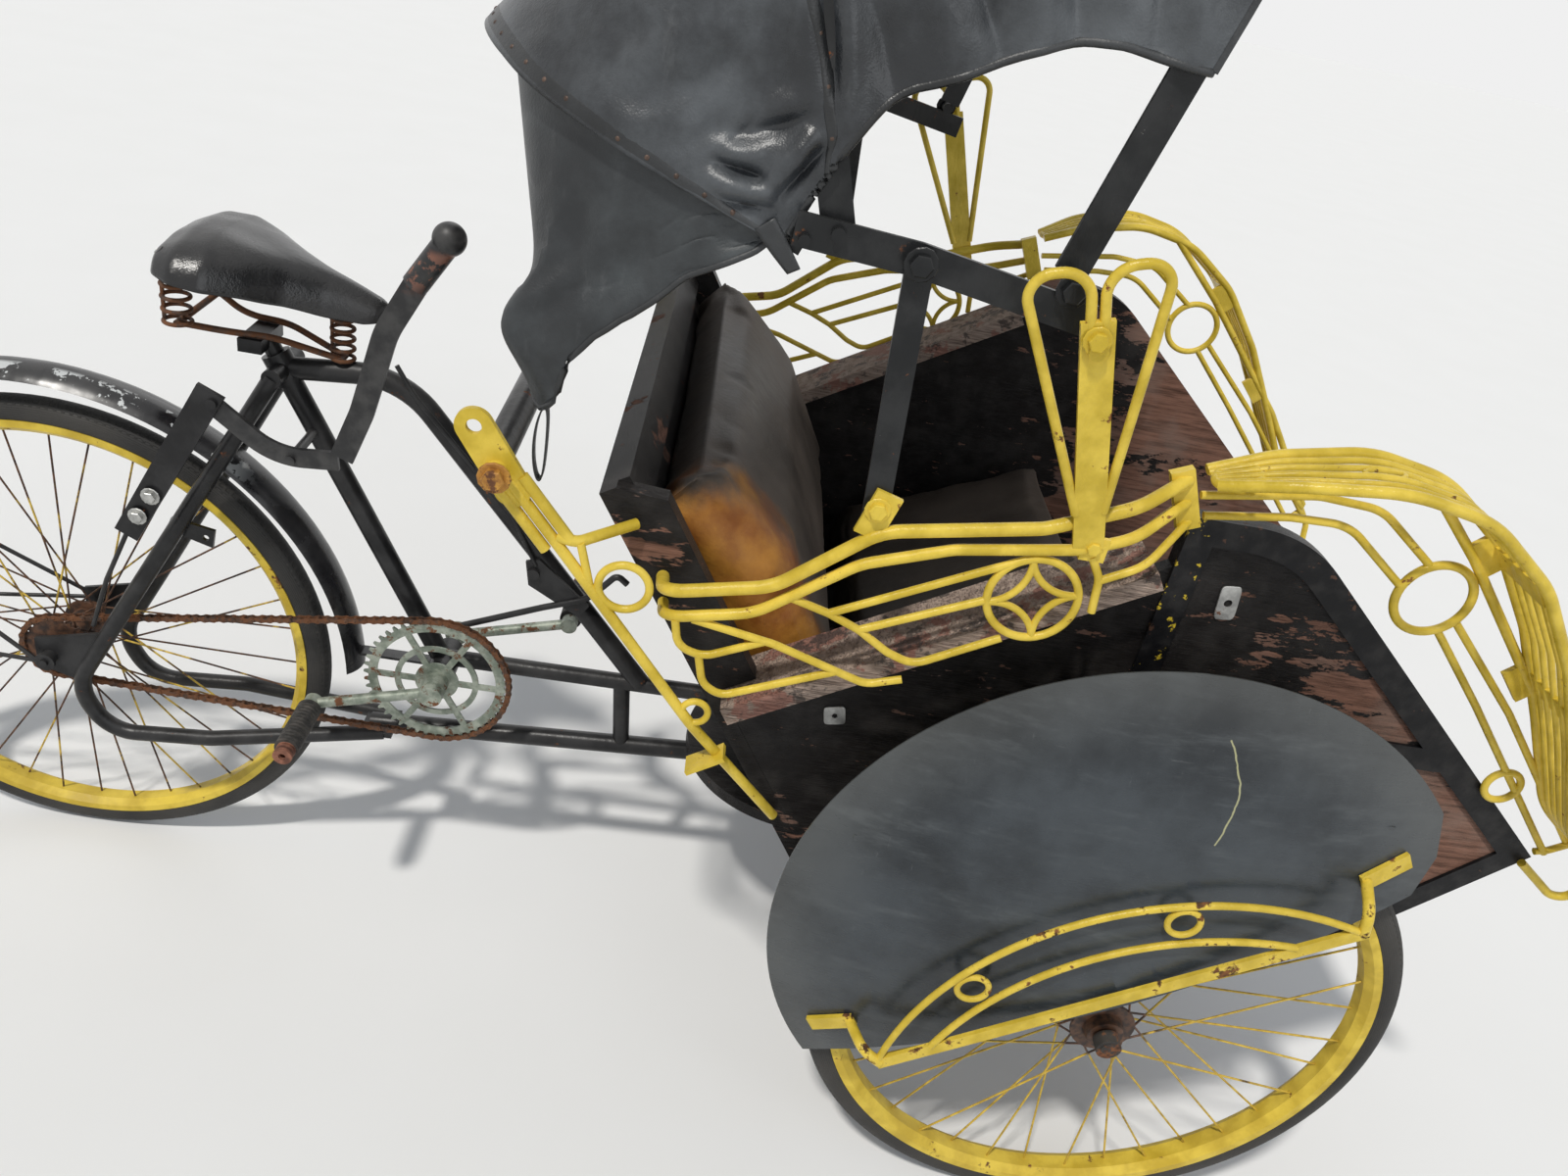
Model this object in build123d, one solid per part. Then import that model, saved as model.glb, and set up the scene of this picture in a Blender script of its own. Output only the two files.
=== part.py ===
from build123d import *
import math
import os

os.makedirs("parts", exist_ok=True)

# Cycle rickshaw: a bicycle rear half and a passenger cab on two front wheels that swivels on a kingpin.
# Millimetres. X runs forward from the front axle, Y to the rider's left, Z up from the floor.
# Everything is drawn in that frame and saved moved along X, so that the origin lies under the middle.

# Wheels
TYRE_R = 352.0            # outer radius of a 28 inch tyre
TYRE_D = 38.0             # width of the tyre
RIM_R = TYRE_R - 28.5     # outer radius of the rim's edges
RIM_W = 36.0
RIM_DEPTH = 17.5
RIM_WALL = 4.0
BEAD_R = TYRE_R - 37.0    # bottom of the rim's channel
WHEELBASE = 1395.0
HALF_TRACK = 440.0
SPOKES = 36
SPOKE_D = 2.6
SPOKE_CROSS = 58.0        # degrees that a spoke leads or trails between hub and rim
PIN_GAP = 0.3             # running clearance of bores on their pins
SEAT_GAP = 0.3            # clearance between pieces that lie on each other

# Rear half
STAY_D = 22.0
STAY_AXLE_Y = 66.0
TAB_HEIGHT = 566.0
TAB_HOLE_D = 8.0
TAB_Y = 44.0
SEAT_TUBE_D = 28.0
TOP_TUBE_D = 28.0
LOWER_TUBE_D = 28.0
UPPER_TUBE_D = 24.0
CRANK_X = 512.0 - WHEELBASE
CRANK_Z = 388.0
CLUSTER_X = 300.0 - WHEELBASE
CLUSTER_Z = 800.0
CLUSTER_RISE = 20.0
BB_SHELL_R = 20.0
BB_SHELL_W = 68.0
HEAD_D = 44.0
HEAD_BOTTOM = 284.0
HEAD_TOP = 428.0
KINGPIN_X = -355.0
KINGPIN_D = 20.0
DISC_R = 170.0
DISC_BOTTOM = 320.0
DISC_T = 18.0
REAR_AXLE_D = 10.0
NUT_Y = 78.0              # outer face of the rear axle's nuts
GUARD_R = TYRE_R + 47.0
GUARD_HALF_W = 32.0
GUARD_CROWN = 15.0
GUARD_T = 1.5
GUARD_FROM = 2.0          # degrees up from straight ahead of the rear axle
GUARD_TO = 202.0

# Drive
CHAIN_Y = -45.0
CHAINRING_TEETH = 48
SPROCKET_TEETH = 22
CHAIN_PITCH = 12.7
TOOTH_RISE = 3.4
CHAINRING_T = 3.0
CRANK_LENGTH = 170.0
CRANK_DROP = 17.0         # degrees below level, pointing rearward on the right side
CRANK_ARM_Y = 72.0
PEDAL_LENGTH = 88.0

# Cab
PANEL_Y = 377.0           # inner face of a side panel
PANEL_T = 16.0
FLOOR_Z = 470.0
FLOOR_T = 14.0
TOE_X = 267.0
NOSE_X = 430.0
NOSE_Z = 640.0
BACK_X = -393.0           # foot of the back's rear face
BACK_LEAN = 31.7          # degrees rearward from upright
BACK_LENGTH = 510.0
BACK_T = 18.0
BACK_POST = 58.0
ARM_HEIGHT = 237.0        # where the arm meets the back, along the back from its foot
ARM_FRONT = (-112.0, 921.0)
ARM_BOARD_T = 20.0
ARM_BOARD_IN = 345.0
ARM_BOARD_OUT = 427.0
PANEL_TOP = 985.0
PANEL_STEP_X = -103.0
BAND_W = 28.0
BAND_T = 4.0
AXLE_D = 20.0
AXLE_HALF = 500.0

# Wheel covers
COVER_X = -38.0
COVER_Z = 476.0
COVER_R = 380.0
COVER_TILT = 33.4         # degrees that the lower edge rises towards the front
COVER_EDGE = 28.0         # the lower edge passes this far below the centre
COVER_APEX_Y = 522.0
COVER_RIM_Y = 464.0
COVER_T = 1.6

# Ironwork
IRON_Y = 445.0
RAIL_D = 13.0
LOWER_RAIL_D = 11.0
THIN_D = 8.0
POST_Y = 404.0
BESIDE_BACK = 399.0       # middle of a bar that ends on the outer face of the back's post
HANDLEBAR_X = -753.0
HANDLEBAR_Z = 940.0
HANDLEBAR_D = 30.0
EYE_HOLE_D = 14.0
BRACKET_PLATE = (-751.0, 950.0)      # middle of the eye plate
BRACKET_PLATE_T = 6.0
BRACKET_PLATE_Y = IRON_Y - BRACKET_PLATE_T / 2
EYE_SPAN = 66.0
EYE_ANGLE = 123.7         # degrees from straight ahead to the eye
EYE_HOLE = (
    BRACKET_PLATE[0] + EYE_SPAN / 2 * math.cos(math.radians(EYE_ANGLE)),
    BRACKET_PLATE[1] + EYE_SPAN / 2 * math.sin(math.radians(EYE_ANGLE)),
)

# Hood
BOW_HALF = 420.0
BOW_W = 28.0
BOW_T = 5.0
BOW_BEND = 184.0
PIVOT_X = -424.0
PIVOT_Z = 1184.0
FRONT_FOOT_X = -297.0
FRONT_FOOT_Z = 1192.0
MIDDLE_FOOT_X = -490.0
MIDDLE_FOOT_Z = 1185.0
REAR_FOOT_X = -516.0
REAR_FOOT_Z = 1179.2
CLOTH_AHEAD = 16.0         # the cloth reaches this far ahead of the front bow's middle
CLOTH_T = 3.0

X_FRONT = 494.0           # foremost point of the ironwork
X_BACK = -(WHEELBASE + GUARD_R)
X_SHIFT = -(X_FRONT + X_BACK) / 2


def save(name, shape):
    """Writes one sub-part, moved so that the origin lies under the middle of the whole."""
    export_step(Pos(X_SHIFT, 0, 0) * shape, "parts/" + name + ".step")


def save_pair(name, shape):
    """Writes a right-hand sub-part and its mirror image."""
    save(name + "_right", shape)
    save(name + "_left", mirror(shape, about=Plane.XZ))


def joined(shapes):
    """Fuses a list of overlapping solids one after the other."""
    total = shapes[0]
    for shape in shapes[1:]:
        total = total + shape
    return total


def side_plane(y):
    """Drawing plane seen from the right: X forward, Z up, extruded outwards to the right."""
    return Plane(origin=(0, y, 0), x_dir=(1, 0, 0), z_dir=(0, -1, 0))


def side_plate(outline, inner_y, thick):
    """A flat right-hand plate whose outline is a list of X, Z points."""
    return extrude(side_plane(-inner_y) * Polygon(*outline, align=None), thick, dir=(0, -1, 0))


def across(outline, half_width):
    """A piece of constant side profile that reaches from side to side."""
    return extrude(side_plane(half_width) * Polygon(*outline, align=None), 2 * half_width, dir=(0, -1, 0))


def bend_radii(points, largest):
    """As large a radius at each corner as its two runs allow."""
    radii = []
    for before, corner, after in zip(points, points[1:], points[2:]):
        first = Vector(corner) - Vector(before)
        second = Vector(after) - Vector(corner)
        turn = math.radians(first.get_angle(second))
        shorter = min(first.length, second.length)
        radii.append(min(largest, 0.45 * shorter / math.tan(turn / 2)))
    return radii


def bent_path(points, largest):
    if len(points) == 2:
        return Line(*points)
    return FilletPolyline(*points, radius=bend_radii(points, largest))


def rod(points, diameter, largest=80.0):
    """A round bar bent through the given points."""
    path = bent_path(points, largest)
    return sweep(Plane(origin=path @ 0, z_dir=path % 0) * Circle(diameter / 2), path)


def flat_bar(points, width, thick, broad, largest=80.0):
    """A flat bar bent through the given points, its width along the direction broad at the start."""
    path = bent_path(points, largest)
    section = Plane(origin=path @ 0, x_dir=broad, z_dir=path % 0)
    return sweep(section * Rectangle(width, thick), path)


def side_points(points, y):
    """X, Z pairs put at one distance to the right."""
    return [(x, -y, z) for x, z in points]


def pin(x, z, y_from, y_to, diameter):
    """A round pin across the vehicle."""
    length = y_to - y_from
    return Pos(x, (y_from + y_to) / 2, z) * Rot(90, 0, 0) * Cylinder(diameter / 2, length)


def ring(x, y, z, radius, diameter):
    """A ring of round bar that faces sideways."""
    return Pos(x, y, z) * Rot(90, 0, 0) * Torus(radius, diameter / 2)


def turned(profile):
    """Revolves a profile of Y, radius points about the wheel axis."""
    return revolve(Plane.YZ * profile, Axis.Y)


# Wheels

def tyre():
    section_r = TYRE_D / 2
    centre_r = TYRE_R - section_r
    bead_w = RIM_W - 2 * RIM_WALL - 2 * SEAT_GAP
    bead_bottom = BEAD_R + SEAT_GAP
    tread_from = RIM_R + SEAT_GAP
    below = Pos(0, tread_from - section_r) * Rectangle(4 * section_r, 2 * section_r)
    tread = Pos(0, centre_r) * Circle(section_r) - below
    bead = Pos(0, (bead_bottom + tread_from + 1) / 2) * Rectangle(bead_w, tread_from + 1 - bead_bottom)
    return turned(tread + bead)


def rim():
    half = RIM_W / 2
    inner = half - RIM_WALL
    crown_r = RIM_R - RIM_DEPTH
    outline = [
        (-half, RIM_R), (-inner, RIM_R), (-inner, BEAD_R), (inner, BEAD_R), (inner, RIM_R), (half, RIM_R),
        (half, BEAD_R - 1), (half / 2, crown_r), (-half / 2, crown_r), (-half, BEAD_R - 1),
    ]
    return turned(Polygon(*outline, align=None))


def hub_and_spokes(barrel_r, flange_r, flange_y, hub_half, bore_d):
    """Hub barrel with two flanges, and spokes that lead and trail in turn from either flange."""
    flange_t = 4.0
    outline = [
        (-hub_half, 0), (hub_half, 0), (hub_half, barrel_r - 3), (flange_y + flange_t, barrel_r),
        (flange_y + flange_t, flange_r), (flange_y, flange_r), (flange_y, barrel_r), (-flange_y, barrel_r),
        (-flange_y, flange_r), (-flange_y - flange_t, flange_r), (-flange_y - flange_t, barrel_r),
        (-hub_half, barrel_r - 3),
    ]
    body = turned(Polygon(*outline, align=None))
    crown_r = RIM_R - RIM_DEPTH - SEAT_GAP
    hole_r = flange_r - 4
    spokes = []
    for number in range(SPOKES):
        rim_angle = math.radians(360 / SPOKES * number)
        side = 1 if number % 2 else -1
        lead = 1 if number % 4 < 2 else -1
        hub_angle = rim_angle + lead * math.radians(SPOKE_CROSS)
        start = Vector(hole_r * math.cos(hub_angle), side * (flange_y + flange_t / 2), hole_r * math.sin(hub_angle))
        end = Vector(crown_r * math.cos(rim_angle), side * 3, crown_r * math.sin(rim_angle))
        spoke = Solid.make_cylinder(SPOKE_D / 2, (end - start).length, Plane(origin=start, z_dir=end - start))
        spokes.append(spoke)
    return body + spokes - pin(0, 0, -hub_half - 1, hub_half + 1, bore_d)


def toothed_disc(teeth, thick):
    """A sprocket blank with a tooth at every pitch."""
    pitch_r = CHAIN_PITCH / (2 * math.sin(math.pi / teeth))
    root_r = pitch_r - 3.2
    tip_r = pitch_r + TOOTH_RISE
    tooth = Polygon((root_r - 1, -3.6), (tip_r, -1.2), (tip_r, 1.2), (root_r - 1, 3.6), align=None)
    blank = Circle(root_r) + [Rot(0, 0, 360 / teeth * number) * tooth for number in range(teeth)]
    return extrude(Plane.XZ * blank, thick / 2, both=True)


def sprocket():
    blank = toothed_disc(SPROCKET_TEETH, CHAINRING_T)
    return Pos(0, CHAIN_Y, 0) * (blank - pin(0, 0, -10, 10, 2 * 14.0))


def rear_wheel():
    place = Pos(-WHEELBASE, 0, TYRE_R)
    save("tyre_rear", place * tyre())
    save("rim_rear", place * rim())
    bore_d = REAR_AXLE_D + 2 * PIN_GAP
    hub = hub_and_spokes(17, 28, 26, 50, bore_d)
    freewheel = pin(0, 0, CHAIN_Y - 3, -32, 36) - pin(0, 0, CHAIN_Y - 4, -31, bore_d)
    save("hub_rear", place * joined([hub, sprocket(), freewheel]))


def front_wheels():
    place = Pos(0, -HALF_TRACK, TYRE_R)
    save_pair("tyre_front", place * tyre())
    save_pair("rim_front", place * rim())
    save_pair("hub_front", place * hub_and_spokes(24, 38, 24, 40, AXLE_D + 2 * PIN_GAP))


# Rear half

def seat_line(rise):
    """A point on the seat tube's axis, at a rise along it above the seat cluster."""
    up = Vector(CLUSTER_X - CRANK_X, 0, CLUSTER_Z - CRANK_Z).normalized()
    return tuple(Vector(CLUSTER_X, 0, CLUSTER_Z) + up * rise)


# The straight upper run of a side tube, seen from the side, from the seat cluster to its first bend.
STAY_TOP = Vector(CLUSTER_X, CLUSTER_Z)
STAY_BEND = Vector(105 - WHEELBASE, TYRE_R + 94)


def stay_at_height(height):
    """A point on the side tube's upper run, seen from the side, at a height."""
    return STAY_TOP + (STAY_BEND - STAY_TOP) * ((CLUSTER_Z - height) / (CLUSTER_Z - STAY_BEND.Y))


def stay_at_radius(radius):
    """A point on the side tube's upper run, seen from the side, at a distance from the rear axle."""
    start = STAY_TOP - Vector(-WHEELBASE, TYRE_R)
    run = STAY_BEND - STAY_TOP
    a, b, c = run.dot(run), 2 * start.dot(run), start.dot(start) - radius**2
    return STAY_TOP + run * ((-b - math.sqrt(b**2 - 4 * a * c)) / (2 * a))


TAB_HOLE = (stay_at_height(TAB_HEIGHT).X + 40, TAB_HEIGHT)


def rear_frame():
    axle_x = -WHEELBASE
    side_tube = rod(
        [(CLUSTER_X, -34, CLUSTER_Z), (STAY_BEND.X, -STAY_AXLE_Y, STAY_BEND.Y),
         (axle_x + 27, -STAY_AXLE_Y, TYRE_R - 47), (axle_x + 65, -STAY_AXLE_Y, TYRE_R - 120),
         (axle_x + 205, -STAY_AXLE_Y, TYRE_R - 108), (CRANK_X - 79, -22, 263)], STAY_D, 70
    )
    gusset = side_plate(
        [(axle_x - 18, TYRE_R + 26), (axle_x + 73, TYRE_R + 50), (axle_x + 39, TYRE_R - 36),
         (axle_x - 18, TYRE_R - 18)], STAY_AXLE_Y - 2.5, 5
    )
    tab_x, tab_z = TAB_HOLE
    tab = side_plate(
        [(tab_x - 42, tab_z + 22), (tab_x + 12, tab_z + 12), (tab_x + 8, tab_z - 14), (tab_x - 50, tab_z + 4)],
        TAB_Y, 5
    ) - pin(tab_x, tab_z, -TAB_Y - 10, -TAB_Y + 5, TAB_HOLE_D)
    right = joined([side_tube, gusset, tab])
    left = mirror(joined([side_tube, gusset]), about=Plane.XZ)
    seat_tube = rod([seat_line(CLUSTER_RISE - 2), (CRANK_X, 0, CRANK_Z)], SEAT_TUBE_D)
    top_tube = rod(
        [(CLUSTER_X, 0, CLUSTER_Z), (CLUSTER_X + 145, 0, CLUSTER_Z + 15), (KINGPIN_X - 249, 0, 404)],
        TOP_TUBE_D, 110
    )
    lower_tube = rod([(CRANK_X - 102, 0, 262), (KINGPIN_X, 0, 304)], LOWER_TUBE_D)
    upper_tube = rod([(CRANK_X, 0, CRANK_Z + 10), (KINGPIN_X, 0, 404)], UPPER_TUBE_D)
    strut = rod([(KINGPIN_X - 275, 0, 400), (KINGPIN_X - 264, 0, 288)], 24)
    cluster = rod([seat_line(CLUSTER_RISE), seat_line(-20)], 36)
    cluster_lug = pin(CLUSTER_X, CLUSTER_Z, -42, 42, 24)
    shell = pin(CRANK_X, CRANK_Z, -BB_SHELL_W / 2, BB_SHELL_W / 2, 2 * BB_SHELL_R)
    head_height = HEAD_TOP - HEAD_BOTTOM
    head = Pos(KINGPIN_X, 0, HEAD_BOTTOM + head_height / 2) * Cylinder(HEAD_D / 2, head_height)
    flange_t = 8
    flange = Pos(KINGPIN_X, 0, DISC_BOTTOM - SEAT_GAP - flange_t / 2) * Cylinder(60, flange_t)
    bridge_d = 12
    bridge_at = stay_at_radius(GUARD_R + SEAT_GAP + bridge_d / 2)
    bridge = pin(bridge_at.X, bridge_at.Y, -45, 45, bridge_d)
    foot_plate = Pos(CRANK_X - 89, 0, 262) * Box(46, 60, 6)
    frame = joined([
        seat_tube, right, left, top_tube, lower_tube, upper_tube, strut, cluster, cluster_lug, shell, head, flange,
        bridge, foot_plate,
    ])
    frame -= pin(CRANK_X, CRANK_Z, -BB_SHELL_W, BB_SHELL_W, 17 + 2 * PIN_GAP)
    frame -= Pos(KINGPIN_X, 0, HEAD_BOTTOM) * Cylinder(KINGPIN_D / 2 + PIN_GAP, 3 * head_height)
    axle = pin(axle_x, TYRE_R, -88, 88, REAR_AXLE_D)
    nuts = [pin(axle_x, TYRE_R, STAY_AXLE_Y + 2.5, NUT_Y, 20)]
    nuts.append(mirror(nuts[0], about=Plane.XZ))
    save("rear_frame", joined([frame, axle] + nuts))


def turntable_disc():
    disc = Pos(KINGPIN_X, 0, DISC_BOTTOM + DISC_T / 2) * Cylinder(DISC_R, DISC_T)
    bore = Pos(KINGPIN_X, 0, DISC_BOTTOM) * Cylinder(HEAD_D / 2 + SEAT_GAP, 4 * DISC_T)
    save("turntable_disc", disc - bore)


def rear_mudguard():
    chord = GUARD_HALF_W
    outer = ThreePointArc((-chord, GUARD_R - GUARD_CROWN), (0, GUARD_R), (chord, GUARD_R - GUARD_CROWN))
    inner = ThreePointArc(
        (chord - GUARD_T, GUARD_R - GUARD_CROWN), (0, GUARD_R - GUARD_T), (GUARD_T - chord, GUARD_R - GUARD_CROWN)
    )
    edges = [outer, Line(outer @ 1, inner @ 0), inner, Line(inner @ 1, outer @ 0)]
    profile = make_face(edges)
    guard = revolve(Plane.YZ * profile, Axis.Y, revolution_arc=GUARD_TO - GUARD_FROM)
    # The profile is drawn straight up, so it is first turned back to the rear end.
    guard = Pos(-WHEELBASE, 0, TYRE_R) * Rot(0, 90 - GUARD_TO, 0) * guard
    bracket_from = -WHEELBASE + GUARD_R - 5
    bracket_to = CRANK_X - BB_SHELL_R - SEAT_GAP
    bracket = Pos((bracket_from + bracket_to) / 2, 0, CRANK_Z) * Box(bracket_to - bracket_from, 20, 4)
    save("rear_mudguard", joined([guard, bracket]))


def mudguard_stays():
    edge_r = GUARD_R - GUARD_CROWN - 4
    eye_y = NUT_Y + 1.5
    bars = []
    for angle in (148.0, 184.0):
        end_x = -WHEELBASE + edge_r * math.cos(math.radians(angle))
        end_z = TYRE_R + edge_r * math.sin(math.radians(angle))
        bars.append(rod([(-WHEELBASE - 9, -eye_y - 2.5, TYRE_R), (end_x, -GUARD_HALF_W - 4, end_z)], 6))
    eye = pin(-WHEELBASE, TYRE_R, -eye_y - 5, -eye_y, 26)
    eye = joined([eye] + bars) - pin(-WHEELBASE, TYRE_R, -eye_y - 9, -NUT_Y + 4, REAR_AXLE_D + 2 * SEAT_GAP)
    save_pair("mudguard_stay", eye)


def saddle():
    sections = []
    # Each row: distance ahead of the seat cluster, half width, height of the top, height of the skirt.
    for x, half, top, skirt in (
        (-113, 86, 958, 934), (-70, 106, 968, 922), (5, 60, 950, 902), (65, 30, 926, 884),
        (127, 19, 903, 880),
    ):
        arc = ThreePointArc((-half, skirt), (0, top), (half, skirt))
        plane = Plane(origin=(x, 0, 0), x_dir=(0, 1, 0), z_dir=(1, 0, 0))
        sections.append(plane * make_face([arc, Line(arc @ 1, arc @ 0)]))
    place = Pos(CLUSTER_X, 0, 0)
    save("saddle_leather", place * loft(sections))
    parts = []
    for y in (-58, 58):
        parts += coil(-97, y, 862, 921.5, 15)
    parts += coil(73, 0, 826, 876.7, 13)
    rails = []
    for side in (-1, 1):
        rails.append(rod([(-97, side * 58, 860), (-55, side * 32, 848), (0, side * 26, 848),
                          (73, side * 6, 826)], 8, 100))
    cross = pin(-97, 860, -62, 62, 8)
    tail = pin(73, 826, -12, 12, 8)
    save("saddle_springs", place * joined(parts + rails + [cross, tail]))
    post = rod([seat_line(CLUSTER_RISE + SEAT_GAP), seat_line(CLUSTER_RISE + 16)], 22)
    clamp_top = 848 - 4 - SEAT_GAP
    clamp_bottom = 827.0
    clamp = Pos(CLUSTER_X - 26, 0, (clamp_bottom + clamp_top) / 2) * Box(28, 72, clamp_top - clamp_bottom)
    save("saddle_post", joined([post, clamp]))


def coil(x, y, bottom, top, radius):
    """Rings of wire one above the other with an upright on the rear side, as the room of a coil spring."""
    wire = 5.0
    turns = 5
    step = (top - bottom) / (turns - 1)
    rings = [Pos(x, y, bottom + step * turn) * Torus(radius, wire / 2) for turn in range(turns)]
    upright = Pos(x - radius, y, (top + bottom) / 2) * Box(3.6, 3.6, top - bottom)
    return rings + [upright]


def brake():
    place = Pos(CLUSTER_X, 0, 0)
    y = 90.0
    grip = rod([(215, -y, 1020), (181, -y, 966)], 30)
    knob = Pos(217, -y, 1024) * Sphere(19)
    blade = flat_bar(
        side_points([(185, 972), (150, 905), (123, 800), (99, 736)], y), 28, 6, (0.87, 0, -0.5), 120
    )
    arm = flat_bar(side_points([(95, 731), (20, 724), (-47, 776)], y), 24, 6, (0, 0, 1), 120)
    pivot = pin(39, 724, -y - 8, -SEAT_TUBE_D / 2 - SEAT_GAP, 12)
    save("brake_lever", place * joined([knob, grip, blade, arm, pivot]))
    inner = y + 3 + SEAT_GAP
    link = side_plate([(-33, 792), (-63, 806), (-177, 592), (-151, 578)], inner, 6)
    bolts = [pin(x, z, -inner - 10, -inner - 5, 15) for x, z in ((-127, 648), (-145, 617))]
    hook = rod([(-163, -inner - 3, 588), (-205, -80, 500), (-237, -68, 414)], 6, 60)
    joint = pin(-47, 784, -inner - 10, -inner, 12)
    save("brake_link", place * joined([link, joint, hook] + bolts))


def lever_linkage():
    y = TOP_TUBE_D / 2 + SEAT_GAP + 2.5
    pull = rod(side_points([(-952, 836), (-930, 800), (-800, 655), (-764, 584)], y + 2), 6, 120)
    plate = side_plate([(-778, 588), (-760, 594), (-688, 532), (-700, 512), (-772, 552)], y - 2.5, 5)
    hook = rod(side_points([(-858, 470), (-750, 520), (-690, 545), (-655, 590), (-640, 578)], y + 3), 9, 60)
    bolt = pin(-766, 572, -y - 8, -y, 16)
    save("lever_linkage", joined([pull, plate, hook, bolt]))


# Drive

def chain_loop(offset):
    """Outline of the chain around chainring and sprocket, offset outwards from the tooth tips."""
    ring_r = CHAIN_PITCH / (2 * math.sin(math.pi / CHAINRING_TEETH)) + TOOTH_RISE + offset
    small_r = CHAIN_PITCH / (2 * math.sin(math.pi / SPROCKET_TEETH)) + TOOTH_RISE + offset
    ring_c = (CRANK_X, CRANK_Z)
    small_c = (-WHEELBASE, TYRE_R)
    run = Vector(ring_c[0] - small_c[0], ring_c[1] - small_c[1])
    lean = math.asin((ring_r - small_r) / run.length)
    base = math.atan2(run.Y, run.X)
    quad = []
    for centre, radius in ((small_c, small_r), (ring_c, ring_r)):
        for sign in (1, -1):
            angle = base + sign * (math.pi / 2 + lean)
            quad.append((centre[0] + radius * math.cos(angle), centre[1] + radius * math.sin(angle)))
    strip = Polygon(quad[0], quad[1], quad[3], quad[2], align=None)
    return strip + Pos(*ring_c) * Circle(ring_r) + Pos(*small_c) * Circle(small_r)


def chain():
    band = chain_loop(8.4) - chain_loop(0.6)
    save("chain", extrude(side_plane(CHAIN_Y + 4) * band, 8))


def crank_set():
    pitch_r = CHAIN_PITCH / (2 * math.sin(math.pi / CHAINRING_TEETH))
    disc = toothed_disc(CHAINRING_TEETH, CHAINRING_T)
    window = Circle(pitch_r - 15) - Circle(30)
    arms = [Rot(0, 0, 60 * number) * Pos(pitch_r / 2, 0) * Rectangle(pitch_r, 9) for number in range(6)]
    inner_ring = Circle(58) - Circle(50)
    openings = window - arms - inner_ring
    disc -= extrude(Plane.XZ * openings, CHAINRING_T, both=True)
    disc -= pin(0, 0, -10, 10, 17 + 2 * SEAT_GAP)
    save("chainring", Pos(CRANK_X, CHAIN_Y, CRANK_Z) * disc)

    angle = math.radians(180 + CRANK_DROP)
    tip_x = CRANK_X + CRANK_LENGTH * math.cos(angle)
    tip_z = CRANK_Z + CRANK_LENGTH * math.sin(angle)
    far_x = 2 * CRANK_X - tip_x
    far_z = 2 * CRANK_Z - tip_z
    axle = pin(CRANK_X, CRANK_Z, -CRANK_ARM_Y - 10, CRANK_ARM_Y + 10, 17)
    spider = pin(CRANK_X, CRANK_Z, -CRANK_ARM_Y, CHAIN_Y - CHAINRING_T / 2 - SEAT_GAP, 34)
    pieces = [axle, spider]
    for side, end_x, end_z in ((-1, tip_x, tip_z), (1, far_x, far_z)):
        y = side * CRANK_ARM_Y
        pieces.append(rod([(CRANK_X, y, CRANK_Z), (end_x, y, end_z)], 15))
        pieces.append(pin(CRANK_X, CRANK_Z, min(y, y + side * 8) - 4, max(y, y + side * 8) + 4, 32))
        pieces.append(pin(end_x, end_z, y - 8, y + 8, 24))
        spindle_end = side * (CRANK_ARM_Y + 14 + PEDAL_LENGTH)
        pieces.append(pin(end_x, end_z, min(y, spindle_end), max(y, spindle_end), 9))
        first = side * (CRANK_ARM_Y + 12)
        last = side * (CRANK_ARM_Y + 12 + PEDAL_LENGTH)
        body = pin(end_x, end_z, min(first, last), max(first, last), 32)
        cap = pin(end_x, end_z, min(last, last + side * 16), max(last, last + side * 16), 25)
        pedal = joined([body, cap]) - pin(end_x, end_z, -CRANK_ARM_Y * 4, CRANK_ARM_Y * 4, 9 + 2 * PIN_GAP)
        save("pedal_right" if side < 0 else "pedal_left", pedal)
    save("crank_arms", joined(pieces))


# Cab

def back_point(height, forward):
    """A point on the leaning back: height along it from its foot, and distance forward of its rear face."""
    lean = math.radians(BACK_LEAN)
    x = BACK_X - height * math.sin(lean) + forward * math.cos(lean)
    z = FLOOR_Z + height * math.cos(lean) + forward * math.sin(lean)
    return x, z


ARM_REAR = back_point(ARM_HEIGHT, BACK_T + SEAT_GAP)


def arm_line(share, lift):
    """A point on the sloping top edge of the side panel, lifted square to it."""
    run = Vector(ARM_FRONT[0] - ARM_REAR[0], ARM_FRONT[1] - ARM_REAR[1])
    square = Vector(-run.Y, run.X).normalized()
    return (
        ARM_REAR[0] + run.X * share + square.X * lift,
        ARM_REAR[1] + run.Y * share + square.Y * lift,
    )


def panel_outline():
    """The side panel: sloping arm, a step up to the post, and the curved front edge down to the nose."""
    foot = back_point(SEAT_GAP, BACK_T + SEAT_GAP)
    front = FilletPolyline(
        (PANEL_STEP_X, PANEL_TOP), (15, PANEL_TOP), (NOSE_X, NOSE_Z), radius=150
    )
    edges = [
        front,
        Polyline(front @ 1, (TOE_X, FLOOR_Z), foot, ARM_REAR, ARM_FRONT, (PANEL_STEP_X, ARM_FRONT[1] + 6), front @ 0),
    ]
    return make_face(edges)


def side_panels():
    save_pair("cab_side", extrude(side_plane(-PANEL_Y) * panel_outline(), PANEL_T))


def edge_bands():
    face = panel_outline()
    front_part = face & Pos(PANEL_STEP_X + 400, 700) * Rectangle(800, 800)
    band = front_part - offset(front_part, -BAND_W, kind=Kind.INTERSECTION)
    strap = Pos(225, 750) * Rectangle(150, BAND_W) & front_part
    shape = extrude(side_plane(-PANEL_Y - PANEL_T - SEAT_GAP) * (band + strap), BAND_T)
    save_pair("edge_band", shape)


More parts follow.
